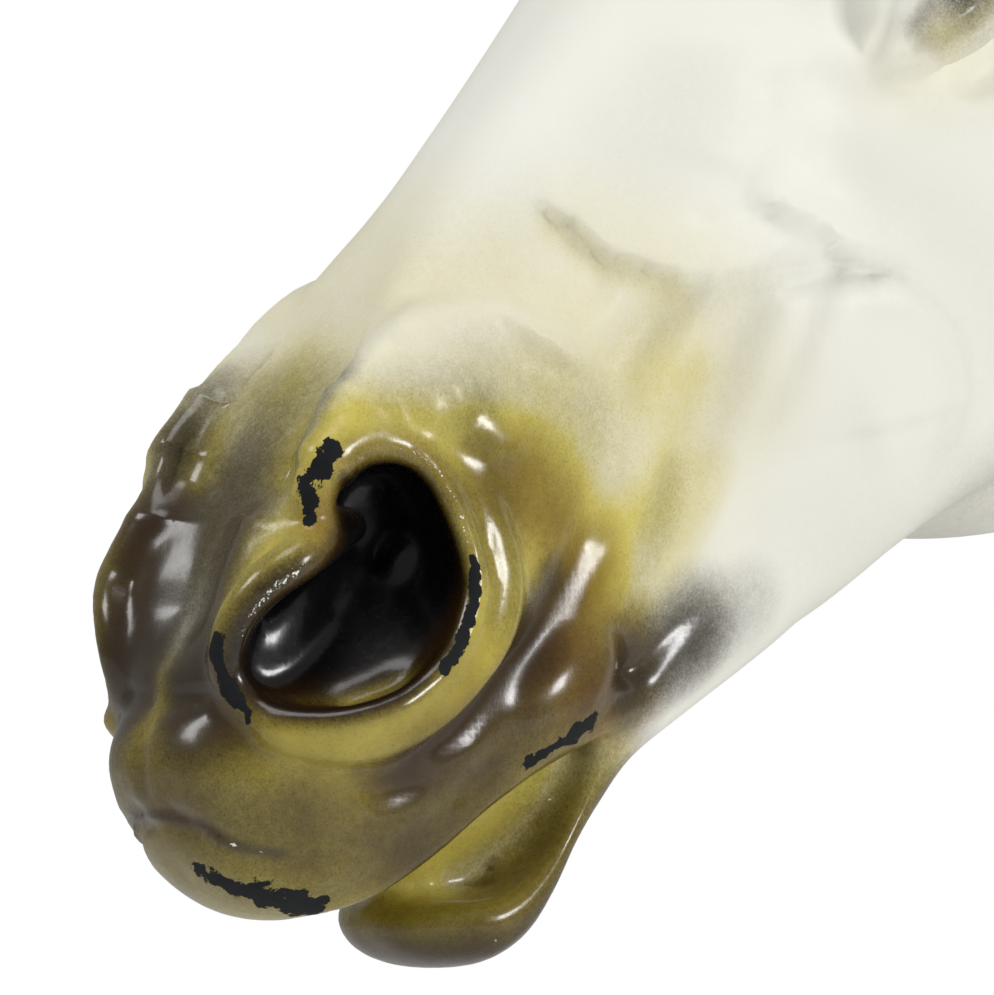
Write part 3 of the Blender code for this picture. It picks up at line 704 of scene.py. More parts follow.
class Clay:
    """The skin's points, and the tools that carve them. Paths are rows of head places, in parts."""

    def __init__(self, obj, axes):
        self.axes = axes
        self.mesh = obj.data
        self.points = read_points(self.mesh)
        edges = np.empty(len(self.mesh.edges) * 2, int)
        self.mesh.edges.foreach_get("vertices", edges)
        self.a, self.b = edges.reshape(-1, 2).T
        self.degree = np.bincount(np.concatenate((self.a, self.b)), minlength=len(self.points))
        self.look_again()

    def look_again(self):
        """Writes the points back and reads the normals afresh."""
        write_points(self.mesh, self.points)
        flat = np.empty(len(self.points) * 3)
        self.mesh.vertices.foreach_get("normal", flat)
        self.normals = flat.reshape(-1, 3)

    def reach(self, path, width, side=0):
        """The points near a path: which they are, how far off as a share of width, how far along it,
        and whether they lie on its left, seen from outside.

        The path counts for both sides of the head, or with side 1 for its left and -1 for its right.
        """
        route = np.array([self.axes.head @ Vector(p) for p in path])
        if len(route) > 2:
            route = spline(route)
        width = width * self.axes.part
        folded = np.abs(self.points * (1, 0, 0)) + self.points * (0, 1, 1)
        low, high = route.min(0) - width, route.max(0) + width
        near = np.flatnonzero(((folded > low) & (folded < high)).all(1) & (self.points[:, 0] * side >= 0))
        best = np.full(len(near), 1e9)
        along = np.full(len(near), 0.5)
        left = np.ones(len(near), bool)
        if len(route) == 1:
            return near, np.linalg.norm(folded[near] - route[0], axis=1) / width, along, left
        outwards = self.normals[near] * np.where(self.points[near, :1] < 0, (-1, 1, 1), (1, 1, 1))
        for k, (start, end) in enumerate(zip(route, route[1:])):
            leg = end - start
            share = np.clip((folded[near] - start) @ leg / max(leg @ leg, 1e-12), 0, 1)
            gap = np.linalg.norm(folded[near] - start - share[:, None] * leg, axis=1)
            closer = gap < best
            best[closer] = gap[closer]
            along[closer] = ((k + share) / (len(route) - 1))[closer]
            turned = (np.cross(leg, folded[near] - start) * outwards).sum(1) > 0
            left[closer] = turned[closer]
        return near, best / width, along, left

    def raise_by(self, path, width, height, sharp, side=0):
        """Lifts the skin along its normals, or sinks it in a groove that runs out at both ends.

        sharp goes from 0, a round swell, to 1, a crease.
        """
        near, gap, along, _ = self.reach(path, width, side)
        inside = np.clip(1 - gap, 0, 1)
        rounded = np.clip(1 - gap**2, 0, 1) ** 2
        weight = (1 - sharp) * rounded + sharp * inside**2
        if len(path) > 1:
            least = GROOVE_END if height < 0 else SWELLING_END
            weight = weight * np.clip(np.minimum(along, 1 - along) * 5 + least, 0, 1) ** 0.7
        self.points[near] += self.normals[near] * (weight * height * self.axes.part)[:, None]
        self.look_again()

    def fold(self, path, width, height, edge):
        """Raises a ledge on the left of the path, which drops over edge at it and fades over width."""
        near, gap, along, left = self.reach(path, width)
        slope = np.clip(1 - gap, 0, 1) ** 2
        cliff = np.clip(1 - gap * width / edge, 0, 1)
        weight = np.where(left, slope, cliff * cliff * (3 - 2 * cliff))
        weight *= np.clip(np.minimum(along, 1 - along) * 4, 0, 1)
        self.points[near] += self.normals[near] * (weight * height * self.axes.part)[:, None]
        self.look_again()

    def soften(self, reach, shrink=False):
        """Relaxes the skin over about reach parts, as much on its fine part as on its coarse one.

        Without shrink it keeps its volume.
        """
        length = np.linalg.norm(self.points[self.a] - self.points[self.b], axis=1)
        count = len(self.points)
        around = np.bincount(self.a, length, count) + np.bincount(self.b, length, count)
        grain = around / self.degree
        rounds = 1.5 * (reach * self.axes.part / grain) ** 2
        for turn in range(max(1, math.ceil(np.percentile(rounds, 99)))):
            weight = np.clip(rounds - turn, 0, 1)
            for pull in PULLS[:1] if shrink else PULLS:
                total = np.stack(
                    [
                        np.bincount(self.a, self.points[self.b, k], count)
                        + np.bincount(self.b, self.points[self.a, k], count)
                        for k in range(3)
                    ],
                    axis=1,
                )
                mean = total / self.degree[:, None]
                self.points += (mean - self.points) * (weight * pull)[:, None]
        self.look_again()


# Each row: how far the skin rises (or sinks), how wide, how sharp, and where
SWELLINGS = (
    # dome over the nostril
    (3.0, 15, 0.0, ((19, 66, 34), (23, 76, 26), (25, 78, 14))),
    (2.2, 15, 0.0, ((17, 61, 40), (16, 47, 35))),
    # between the nostrils and the top lip
    (2.2, 9, 0.0, ((0, 7, 12), (8, 8, 11), (12, 11, 4))),
    # band of the upper lip
    (1.2, 7, 0.0, ((17, 14, -14), (20, 28, -16), (21, 42, -16))),
    # muscles of the face
    (1.6, 8, 0.0, ((25.6, 116, 15), (27.5, 121, 11.5), (29, 127, 8.5), (30.5, 133, 6.5), (31, 138, 4))),
    (1.4, 8, 0.0, ((27, 120, 9.5), (26.4, 114, 8.5), (25.5, 104, 3), (24.4, 94, -2.4), (24, 86, -6))),
    (3.6, 23, 0.0, ((29, 126, -6), (30, 131, -18), (28, 128, -28))),
    (1.4, 15, 0.0, ((28, 130, 24), (27, 137, 28), (25.5, 143, 33), (24, 148, 38))),
    (2.5, 16, 0.0, ((33, 150, 16), (36, 166, 6), (38, 186, -2), (38, 205, -6))),
    (3.0, 34, 0.0, ((37, 205, -40),)),
    # brow
    (3.5, 11, 0.0, ((28, 168, 36), (32, 180, 41), (30, 194, 40))),
)
GROOVES = (
    # along the nose between the nostrils
    (-4.6, 12, 0.0, ((0, 90, 45), (0, 68, 43), (0, 52, 39), (0, 38, 33), (0, 26, 27), (0, 17, 21))),
    (-5.0, 10.5, 0.0, ((10.5, 38, 33), (11, 46, 37.5), (11, 55, 41), (10, 65, 43.5), (8, 80, 45.5))),
    # under the nostril, back from the lip to the cheek
    (-2.0, 6.5, 0.3, (
        (23.5, 86, 0), (23.7, 77.5, -4), (24.4, 69, -6.5), (25.6, 58, -9), (26, 45, -8.5),
        (25, 34, -8.5), (22, 24, -8),
    )),
    (-0.9, 5.0, 0.1, ((22.2, 18.9, -1), (22.4, 25, -10), (23.7, 33.6, -16), (22.8, 41.7, -19.4))),
    (-0.8, 5.0, 0.1, ((20, 15, -6), (20.5, 20, -14), (20.5, 30, -19), (20.5, 40, -21.5))),
    # crease over the top lip
    (-2.0, 4.2, 0.5, (
        (0, 2, 5), (4.5, 2.3, 5), (9.9, 3, 2.1), (13, 4, -3), (16, 7, -8), (18, 11, -11),
    )),
    (-1.2, 3.5, 0.5, ((0, 12.5, 19), (6, 13.5, 18.8), (11.4, 14.4, 18))),
    # soft valleys between the muscles of the face
    (-2.0, 8, 0.0, (
        (29.5, 125, 6), (28.9, 121, 4), (28.2, 116, 1.4), (26.3, 110, -3), (24, 99.4, -9),
        (23.4, 90, -12),
    )),
    (-1.8, 7, 0.0, ((27.5, 119, 10), (26.7, 114, 11), (25.2, 106, 12), (25.8, 99, 12), (26, 92, 10))),
    (-2.8, 4.6, 0.4, ((30.4, 125.8, 5), (31.1, 132.6, 1.4), (32.5, 139.6, -4.8), (33, 144, -9))),
    (-1.2, 12, 0.0, ((24, 94, 36), (24.5, 102, 28), (25, 106, 20))),
    (-0.9, 8, 0.1, ((22, 76, -22), (22.5, 92, -24), (24, 108, -26))),
    (-1.4, 12, 0.0, ((31, 128, -27), (28, 114, -25), (25, 98, -23))),
    # round the eye
    (-2.0, 7, 0.2, ((37, 156, 20), (35, 149, 25), (31, 141, 28))),
    (-1.6, 5, 0.2, ((42, 168, 9), (44, 178, 7), (43, 190, 10))),
    (-1.5, 4, 0.3, ((43, 166, 32), (46, 176, 37.5), (45, 188, 35))),
    (-3.0, 9, 0.1, ((33, 196, 36), (33, 206, 34))),
    # hollow between jowl and neck
    (-4.0, 14, 0.1, ((34, 262, 10), (36, 258, -20), (34, 250, -50))),
    # inside of the ears
    (-6.5, 8, 0.2, ((25, 286, 66), (28, 293, 78), (28.5, 302, 89), (28, 311, 100))),
    # dish of the lower lip
    (-1.0, 9, 0.1, ((0, 24, -37), (8, 31, -38), (11, 41, -38), (12, 50, -36))),
)

# The same on the left side only: the arc and the folds of its dome
LEFT_SWELLINGS = (
    (3.0, 7.5, 0.1, (
        (20.6, 70, 39.8), (20, 77, 38.3), (21.3, 82.4, 35.6), (23, 88.8, 29), (24.5, 91.5, 23),
        (25.4, 93, 18),
    )),
    (1.4, 9, 0.0, ((19, 46, 35), (19.5, 54, 37.5), (20, 62, 38))),
    (1.3, 8, 0.0, ((23.6, 80, 30), (25.3, 69, 30))),
    (1.0, 7, 0.0, ((27, 71, 24), (27.4, 71.5, 16))),
    (0.7, 6, 0.0, ((24.7, 84.7, 20.5), (25.9, 84.2, 16.5), (26, 84.2, 11.5))),
    (-0.8, 7, 0.0, ((24.3, 80, 26), (25, 83, 22), (25.7, 87, 16))),
    (-0.4, 5, 0.0, ((25, 76.5, 25), (27, 69.5, 27))),
)

# Each row: how high the ledge, how wide it fades, how wide its drop, and where; the left is raised
FOLDS = (
    # edge of the cheek muscle over the nose
    (3.4, 13, 1.8, (
        (15.5, 106.5, 37), (17.5, 107.5, 33.6), (21.5, 109, 26), (23, 111, 21),
        (25.6, 115.5, 14.6), (26.5, 118, 12),
    )),
    # edge below the eye
    (3.3, 13, 2.2, (
        (29, 133, 18), (30.3, 134.6, 14), (31.2, 136.3, 8), (32.3, 138.8, 2.3),
        (32.8, 143, -4), (34, 149, -10),
    )),
    # lower edge of the dome's arc
    (2.2, 7, 1.8, (
        (22, 84.5, 32.5), (22.6, 86.5, 29.5), (23.8, 88.8, 24), (24.9, 91.5, 17.5),
        (25.5, 94.5, 12),
    )),
    # mass over the crease of the top lip
    (1.5, 8, 1.2, (
        (-4, 1.8, 5.5), (0, 1.9, 5.4), (3.3, 2.7, 4.1), (7.6, 3.3, 3), (10.2, 3.2, 0.2),
        (12.9, 4, -2.9), (16.2, 6.6, -6),
    )),
    # back of the cheek bulge
    (3.0, 18, 3.0, (
        (29, 137.6, -41), (31.5, 143, -34), (33.3, 146, -25), (33.5, 144.5, -15),
        (32.7, 140, -7), (31.1, 130.5, 0),
    )),
)

# Relief that is finer than the solid's grain
FINE_RELIEF = (
    # crack in the dish of the lower lip
    (-0.9, 1.6, 0.6, (
        (0, 26, -35.5), (4.6, 26, -37), (7.5, 29, -39), (6.4, 34, -39), (8, 36, -40),
        (7.6, 40, -39.5),
    )),
    # pits in the cheek
    (-1.0, 1.9, 0.4, ((30.4, 122.6, -11.3),)),
    (-1.0, 2.1, 0.4, ((31.2, 126.5, -14.6),)),
    (-0.8, 1.6, 0.4, ((29.6, 120.1, 0.3),)),
    (-0.8, 1.6, 0.4, ((28.6, 124, -30.6),)),
)


def carve(clay):
    """Shapes the fused masses, broad swellings first, then adds the fine relief."""
    clay.soften(SOFTEN_MASSES, shrink=True)
    for side, rows in ((0, SWELLINGS), (0, GROOVES), (1, LEFT_SWELLINGS)):
        for height, width, sharp, path in rows:
            clay.raise_by(path, width, height, sharp, side)
    for height, width, edge, path in FOLDS:
        clay.fold(path, width, height, edge)
    clay.soften(SOFTEN_CARVING)
    for height, width, sharp, path in FINE_RELIEF:
        clay.raise_by(path, width, height, sharp)


def cut_flat(obj):
    """Cuts the underside flat at the floor and closes it."""
    bm = bmesh.new()
    bm.from_mesh(obj.data)
    below = bmesh.ops.bisect_plane(
        bm,
        geom=bm.verts[:] + bm.edges[:] + bm.faces[:],
        plane_co=(0, 0, 0),
        plane_no=(0, 0, -1),
        clear_outer=True,
    )
    rim = [e for e in below["geom_cut"] if isinstance(e, bmesh.types.BMEdge)]
    bmesh.ops.holes_fill(bm, edges=rim, sides=0)
    bmesh.ops.triangulate(bm, faces=[f for f in bm.faces if len(f.verts) > 4])
    bmesh.ops.recalc_face_normals(bm, faces=bm.faces)
    bm.to_mesh(obj.data)
    bm.free()


def fit_to_box(obj, low, high):
    """Moves and very slightly stretches obj's mesh to fill the box from low to high."""
    points = read_points(obj.data)
    own_low, own_high = points.min(0), points.max(0)
    share = (points - own_low) / (own_high - own_low)
    write_points(obj.data, np.array(low) + share * (np.array(high) - np.array(low)))


class HORSEBUST_OT_model(bpy.types.Operator):
    """Model the bust in one skin and put it in place of its solid"""

    bl_idname = "horsebust.model"
    bl_label = "Model the bust"

    def execute(self, context):
        sizes = context.scene.bust_sizes
        axes = Axes(sizes)
        bust = fuse(SKIN, block_out(axes), axes, sizes.skin_grain)
        clay = Clay(bust, axes)
        carve(clay)
        spray_all(bust, clay)
        cut_flat(bust)
        fit_to_box(bust, BUST_LOW, BUST_HIGH)
        bust.data.shade_smooth()
        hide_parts(NODE)
        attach(bust, "root")
        return {"FINISHED"}


# Spraying

# the paint layers: the dark grey also carries painted shade, and the white of rubbed-off paint also
# carries painted highlight speckle
LAYERS = ("ochre", "sienna", "umber", "grey_and_shade", "black", "chip", "wear_and_glint")

# Each row: layer, how much paint (less than none wipes it off), how wide, and where
SPRAY = (
    # ochre over the whole muzzle, strongest on the nostril's band and behind it
    ("ochre", 0.90, 30, ((0, 8, 4), (14, 20, -4), (18, 40, -6))),
    ("ochre", 0.90, 22, ((0, 12, -12), (14, 30, -26), (14, 50, -30))),
    ("ochre", 0.80, 20, ((0, 24, -40), (10, 30, -44), (14, 50, -42))),
    ("ochre", 0.75, 15, ((20, 48, 34), (26, 60, 22), (29, 60, 12), (30, 50, 2))),
    ("ochre", 0.80, 13, ((29, 36, -2), (28, 26, 1), (24, 18, 6), (16, 16, 18))),
    ("ochre", 0.70, 13, ((15, 17, 22), (18, 26, 28), (20, 36, 30))),
    ("ochre", 0.18, 15, ((22, 54, 36), (25, 60, 34), (27, 67, 27))),
    ("ochre", 0.80, 13, ((28, 68, 16), (27, 73, 6), (24, 73, -4))),
    ("ochre", 0.80, 14, ((24, 70, -12), (22, 64, -20), (20, 70, -24))),
    ("ochre", 0.25, 14, ((27, 74, 10), (25, 79, 0), (24, 77, -10))),
    ("ochre", 0.16, 9, ((23, 78, -12), (23.5, 86, -10), (24, 92, -8))),
    ("ochre", 0.10, 9, ((24, 90, -10), (25, 100, -6), (26, 107, -1))),
    ("ochre", 0.13, 12, ((26, 84, 17), (25, 91, 10), (26, 97, 7))),
    # greyed olive below the dome's arc, partly painted shade under its ridge
    ("grey_and_shade", 0.22, 13, ((25, 76, 26), (26, 82, 16), (25, 86, 8))),
    ("ochre", 0.18, 14, ((25, 78, 22), (26, 82, 14))),
    # painted shade, pale olive, under the edge of the cheek muscle over the nose
    ("ochre", 0.10, 4, ((18, 106, 33), (21.5, 107.5, 26), (23, 109, 21), (25.6, 113.5, 14.6))),
    ("ochre", 0.42, 20, ((0, 58, 42), (8, 52, 40), (0, 40, 34))),
    ("grey_and_shade", 0.10, 20, ((0, 66, 43), (0, 50, 38))),
    ("ochre", 0.16, 28, ((0, 84, 45), (8, 80, 44))),
    # a thin wide haze of it over the cheek and the nose
    ("ochre", 0.10, 34, ((24, 84, 22), (25, 96, 12), (24, 92, -4))),
    ("ochre", 0.10, 22, ((22, 104, 26), (25, 112, 12), (26, 112, -2))),
    ("ochre", 0.12, 7, ((24, 90, 4), (25, 100, 8), (26, 110, 10))),
    ("ochre", 0.14, 8, ((23.4, 86, -8), (25, 96, -4), (26, 106, 2))),
    # sienna behind the nostril and round the corner of the mouth
    ("sienna", 0.45, 13, ((27, 70, 10), (26, 72, 2), (24, 72, -6))),
    ("sienna", 0.92, 16, ((23, 60, -14), (24, 60, -22), (20, 68, -26))),
    ("sienna", 0.50, 9, ((26, 34, -8), (26, 48, -10), (25, 60, -10))),
    ("sienna", 0.25, 12, ((12, 50, -42), (8, 40, -42), (14, 32, -44))),
    # umber on the front of the muzzle and in the valley between the nostrils
    ("ochre", -0.50, 7, (
        (15, 40, 34), (15.5, 46, 37.5), (15, 53, 40.5), (15, 60, 42), (14.5, 68, 43.5),
    )),
    ("umber", 0.50, 7, ((15, 40, 34), (15.5, 46, 37.5), (15, 53, 40.5), (15, 60, 42))),
    ("grey_and_shade", 0.30, 7, ((15, 46, 37.5), (15, 53, 40.5), (15, 60, 42))),
    ("umber", 0.50, 17, ((0, 56, 41), (0, 46, 37), (0, 38, 33))),
    ("umber", 0.38, 11, ((9, 62, 43.5), (10, 56, 42.5), (10, 48, 40))),
    ("umber", 0.80, 13, ((0, 44, 36), (2, 32, 29), (5, 20, 22), (7, 14, 17))),
    ("umber", 0.85, 8, ((9, 40, 34), (9, 30, 30), (8, 21, 25), (8, 15, 19))),
    ("umber", 0.65, 11, ((6, 12, 18), (9, 8, 12), (0, 6, 12))),
    ("umber", 0.80, 10, ((14, 14, 14), (10, 12, 18), (8, 16, 22))),
    ("umber", 0.75, 12, ((0, 3, 6), (12, 5, 4), (18, 12, -2))),
    ("umber", 0.50, 13, ((4, 1, -6), (14, 8, -14), (18, 22, -20))),
    ("umber", 0.40, 6, ((16, 18, 23), (18, 22, 27), (21, 28, 29), (23, 33, 28))),
    # brown round the corner of the mouth, under the nostril and along the lips
    ("umber", 0.75, 11, ((25, 30, -9), (25, 42, -13), (24, 48, -16))),
    ("umber", 0.50, 10, ((23, 52, -16), (22, 60, -22), (20, 70, -28))),
    ("umber", 0.97, 8, ((24, 30, -8), (25, 38, -8.5), (26, 48, -8.5), (25.6, 58, -9))),
    ("umber", 0.75, 8, ((25.6, 57, -9), (24.6, 67, -7))),
    ("umber", 0.50, 12, ((25, 64, -20), (22, 70, -25))),
    ("umber", 0.20, 20, ((6, 4, -8), (16, 12, -16), (18, 20, -18))),
    ("umber", 0.70, 11, ((18, 26, -23), (20, 40, -23), (20, 54, -25))),
    ("umber", 0.50, 11, ((14, 14, -10), (19, 24, -15), (21, 38, -18))),
    ("umber", 0.96, 11, (
        (4, 17, -43), (12, 21, -47), (17.5, 30, -49), (18.5, 44, -48.5), (18.5, 58, -46),
    )),
    ("umber", 0.85, 11, ((2, 17, -38), (10, 19, -40), (16, 24, -42))),
    ("umber", 0.80, 16, ((0, 24, -48), (8, 34, -51), (10, 56, -49))),
    ("ochre", -0.50, 12, ((4, 34, -38), (8, 46, -38), (14, 60, -35))),
    ("umber", 0.45, 13, ((0, 34, -38), (6, 46, -38), (14, 58, -36))),
    ("umber", 0.80, 2.0, (
        (-3, 1, 6), (1, 1.6, 5.8), (5, 2.2, 4.6), (9.4, 2.6, 3), (11.4, 2.8, 0.5),
        (14, 3.6, -2.5), (16.3, 6.5, -6),
    )),
    ("umber", 0.95, 1.5, (
        (3.7, 26.4, -37.6), (6.4, 29.7, -39.5), (5.7, 34.3, -39.6), (7.4, 36.7, -40.7),
        (7.1, 40.3, -39.9),
    )),
    ("umber", 0.45, 3.5, ((23, 22, -3), (22.6, 26, -10), (23.7, 33.6, -16), (22.8, 41.7, -19.4))),
    ("umber", 0.35, 10, ((25, 24, -6), (22, 20, -14), (20, 20, -20))),
    ("umber", 0.25, 8, ((24.8, 62, 35), (25.4, 66, 33), (26, 70, 28))),
    ("umber", 0.20, 9, ((29, 70, 10), (27, 73, 3), (24, 72, -4))),
    # grey and brown paint on the front, the jaw and the lower lip, and painted shade under the jaw, in
    # the throat, in the groove under the nostril and in the hollow behind the jowl
    ("grey_and_shade", 0.50, 10, ((0, 53, 39), (2, 44, 35), (4, 32, 29), (6, 20, 22))),
    ("umber", 0.70, 12, ((21, 73, -27), (20, 80, -30), (20.5, 86, -31))),
    ("grey_and_shade", 0.70, 10, ((20, 70, -30), (20, 77, -31), (20.5, 84, -32))),
    ("umber", 0.22, 6, ((22.5, 79, -18), (23.5, 87, -13.5), (24, 95, -9))),
    ("ochre", 0.22, 8, ((22, 84, -22), (24, 92, -17), (25.5, 100, -13))),
    # painted shade under the jaw
    ("umber", 0.05, 22, ((22, 110, -44), (22, 130, -46), (20, 150, -54))),
    ("grey_and_shade", 0.30, 10, ((20, 84, -34), (20, 96, -36))),
    # painted shade in the hollow between the jowl and the neck
    ("grey_and_shade", 0.14, 16, ((22, 236, -70), (24, 244, -50))),
    # painted shade in the groove under the nostril
    ("grey_and_shade", 0.60, 6, ((25, 66, -5), (27, 56, -7), (27, 46, -9))),
    ("grey_and_shade", 0.65, 8, ((17, 34, -50), (18, 46, -49), (18, 56, -47), (19, 68, -45))),
    # dark spot in the dip between the dome's lobes, partly painted shade
    ("grey_and_shade", 0.30, 5, ((25, 74, 25), (26, 70, 22))),
    ("grey_and_shade", 0.55, 8, ((7, 21, 22), (8, 15, 18), (8, 11, 14))),
    # painted shade in the throat
    ("umber", 0.22, 20, ((12, 144, -60), (19, 150, -58), (18, 164, -66))),
    # painted shade: faint grey and brown in the hollows and creases of the white
    ("umber", 0.05, 8, (
        (29.5, 125, 6), (28.2, 116, 1.4), (26.3, 110, -3), (24, 99.4, -9), (23.4, 90, -12),
    )),
    ("umber", 0.06, 6, (
        (27.5, 119, 10), (26.7, 114, 11), (25.2, 106, 12), (25.8, 99, 12), (26, 92, 10),
    )),
    ("grey_and_shade", 0.06, 3.5, ((17, 107, 34.5), (21.5, 108.2, 26), (23, 110, 21), (25.6, 114.5, 14.6))),
    ("umber", 0.05, 4, ((30.4, 125.8, 5), (31.1, 132.6, 1.4), (32.5, 139.6, -4.8), (33, 144, -9))),
    ("umber", 0.045, 7, (
        (33, 140, -8), (34, 145, -15), (34, 146, -25), (32, 143, -35), (29, 138, -42),
    )),
    ("grey_and_shade", 0.05, 16, ((14, 92, 44), (16, 104, 40))),
    ("grey_and_shade", 0.06, 14, ((22, 124, 34), (24, 136, 34))),
    ("umber", 0.04, 12, ((34, 150, 0), (35, 158, -14), (34, 156, -34))),
    # eye
    ("umber", 0.50, 5, ((45.0, 174, 19), (46, 184, 18.5), (44, 192, 19))),
    ("ochre", 0.24, 6, ((44.5, 170, 18.5), (45.5, 178, 18.5), (45, 189, 18.5))),
    ("umber", 0.60, 5, ((42.5, 168, 23), (46, 176, 27), (46, 184, 27), (43, 193, 23))),
    ("umber", 0.35, 3, ((43, 168, 16.5), (46, 174.5, 14.5), (46, 183, 15), (44, 190.5, 18.3))),
    ("ochre", 0.09, 12, ((40, 163, 16), (44, 172, 10), (44, 186, 8))),
    ("black", 0.95, 6.5, ((45, 177, 22.5), (46, 181, 23), (45, 186, 23))),
    # ears
    ("ochre", 0.25, 12, ((24, 290, 60), (27, 300, 80), (27, 312, 96))),
)

# Strokes on the left only: the painted and rubbed edge of its nostril with painted highlight speckle on
# its crests, and flecks on the lips
LEFT_SPRAY = (
    # edge of the nostril
    ("black", 0.55, 2.6, (
        (23.8, 32.4, 27.9), (21.8, 27.2, 28), (19.8, 23.6, 26.6), (18, 20.7, 24.6),
        (16.5, 18.6, 22),
    )),
    ("black", -0.9, 5, ((20, 44, 30), (22, 41.5, 30), (23, 41, 27))),
    ("black", -0.6, 4, ((17, 48, 26), (14, 50, 24.5))),
    ("sienna", 0.7, 6, ((18, 47, 28), (21, 43, 30), (23, 40, 27))),
    ("umber", 0.75, 3.2, (
        (23.8, 33.5, 27.3), (22, 28, 28), (20, 24, 26.8), (18, 20.7, 24.6), (16.3, 18.4, 21.5),
    )),
    ("sienna", 0.35, 4.5, ((24.1, 48.5, 34), (25.5, 56.6, 30.7), (26.9, 59.7, 25.3), (28.9, 58.7, 18.5))),
    ("umber", 0.15, 7, ((31, 40, 1), (29, 30, 1), (25, 22, 5))),
    # painted highlight: white speckle along the crests of the wing and the rim, and on the inner edge
    # below, where light glints
    ("wear_and_glint", 0.70, 1.8, ((24.2, 34, 27.4), (22.4, 28.4, 27.6), (20.5, 24.4, 26.4), (18.8, 21.4, 24.4))),
    ("wear_and_glint", 0.62, 1.3, (
        (24.1, 48.5, 34), (25.5, 56.6, 30.7), (26.9, 59.7, 25.3), (28.9, 58.7, 18.5),
        (30.7, 55.2, 13.4),
    )),
    ("wear_and_glint", 0.5, 1.4, ((23.3, 25, 7.2), (25, 32, 5.2), (25.3, 36, 4.5))),
    # white flecks on the lips; the row along the crease of the top lip is painted highlight speckle
    ("wear_and_glint", 1.0, 0.8, ((26.7, 18.9, 5.3), (26.8, 18.6, 5.0))),
    ("wear_and_glint", 1.0, 0.6, ((12.0, 3.1, -0.2), (13.9, 3.5, -2.3), (16.3, 6.5, -6.0))),
    ("wear_and_glint", 1.0, 0.6, ((11.6, 52.2, -37.3), (11.4, 51.8, -37.5))),
    ("wear_and_glint", 1.0, 0.65, ((9.8, 46.2, -40.4), (8.8, 44.5, -40.5))),
    ("wear_and_glint", 1.0, 0.9, ((17, 27, -43.5), (16.8, 26, -43.4))),
    ("wear_and_glint", 1.0, 1.0, ((8.4, 23.6, -36.6), (10.4, 23.2, -36.4))),
    ("wear_and_glint", 1.0, 0.65, ((19, 74.3, -31), (18.8, 74.8, -31.4))),
    # shade round the nostril's edge
    ("umber", 0.45, 5, ((24.5, 52, 33), (27, 59, 26), (29, 59, 18), (31, 55, 10))),
    ("umber", 0.45, 9, ((28, 66, 16), (29, 62, 8), (29, 56, 1))),
    ("umber", 0.45, 7, ((23.5, 34, 27), (22, 28, 28), (19, 23, 27), (16, 18, 22))),
    ("umber", 0.70, 3, ((24, 36, 26), (22, 39, 26), (20, 42, 26))),
)

# Strokes on the right only: the dark lobe in front of its nostril
RIGHT_SPRAY = (
    ("umber", 0.92, 11, ((14, 35, 32), (14, 29, 30), (11, 22, 26), (9, 17, 21))),
    ("umber", 0.70, 8, ((13, 50, 40), (12, 43, 37), (12, 36, 33))),
    ("umber", 0.50, 9, ((14, 31, 30.5), (11, 23, 26))),
)

# Bare chips, all on the left, each row: how wide, and where
CHIPS = (
    (3.1, ((23.0, 48.5, 36.6), (22.1, 45.2, 35.4), (21.5, 42.6, 33.8))),
    (2.4, ((21.5, 42.6, 33.8), (21.0, 40.9, 30.4))),
    (1.3, ((31.5, 53.7, 10.4), (32.1, 49.2, 6.5))),
    (1.8, ((32.1, 49.2, 6.5), (32.3, 43.4, 3.7), (32.1, 38.6, 2.7))),
    (2.1, ((15.9, 18.9, 25.2), (15.6, 17.4, 23.2), (16.3, 15.7, 18.2), (18.0, 14.7, 14.8))),
    (2.0, ((23.9, 46.4, -23.1), (24.7, 49.8, -24.1), (24.9, 53.8, -25.3))),
    (3.4, ((24.8, 55.0, -25.5), (24.3, 58.5, -26.5))),
    (3.2, ((4.9, -0.3, -4.0), (9.1, 0.9, -7.9), (11.1, 2.6, -12.1))),
    (5.0, ((9.5, 1.5, -9.0), (11.1, 2.6, -12.1), (12.5, 6.7, -17.5))),
)

# How far inside the nostril's edge each paint starts, and is full, in parts
NOSTRIL_PAINT = {"umber": (-0.8, 2.2), "black": (0.8, 3.6)}
# Where the nostrils lie: how far back they start and end, how far out they reach, in parts
NOSTRIL_FRONT, NOSTRIL_BACK, NOSTRIL_OUT = 8, 75, 40


def spray_all(bust, clay):
    """Sprays every stroke on the skin, and keeps each layer as an attribute of the mesh."""
    layers = {name: np.zeros(len(clay.points)) for name in LAYERS}
    inside = depth_inside_nostril(clay)
    for name, (start, full) in NOSTRIL_PAINT.items():
        cover = np.clip((inside - start) / (full - start), 0, 1)
        layers[name] = cover * cover * (3 - 2 * cover)
    for side, rows in ((0, SPRAY), (1, LEFT_SPRAY), (-1, RIGHT_SPRAY)):
        for name, amount, width, path in rows:
            near, gap, *_ = clay.reach(path, width, side)
            cover = abs(amount) * np.clip(1 - gap**2, 0, 1) ** 1.5
            layers[name][near] += cover * ((amount > 0) - layers[name][near])
    for width, path in CHIPS:
        near, gap, *_ = clay.reach(path, width, 1)
        layers["chip"][near] = np.maximum(layers["chip"][near], np.clip(1 - gap, 0, 1))
    for name, values in layers.items():
        attribute = bust.data.attributes.new(name, "FLOAT", "POINT")
        attribute.data.foreach_set("value", values.astype(np.float32))


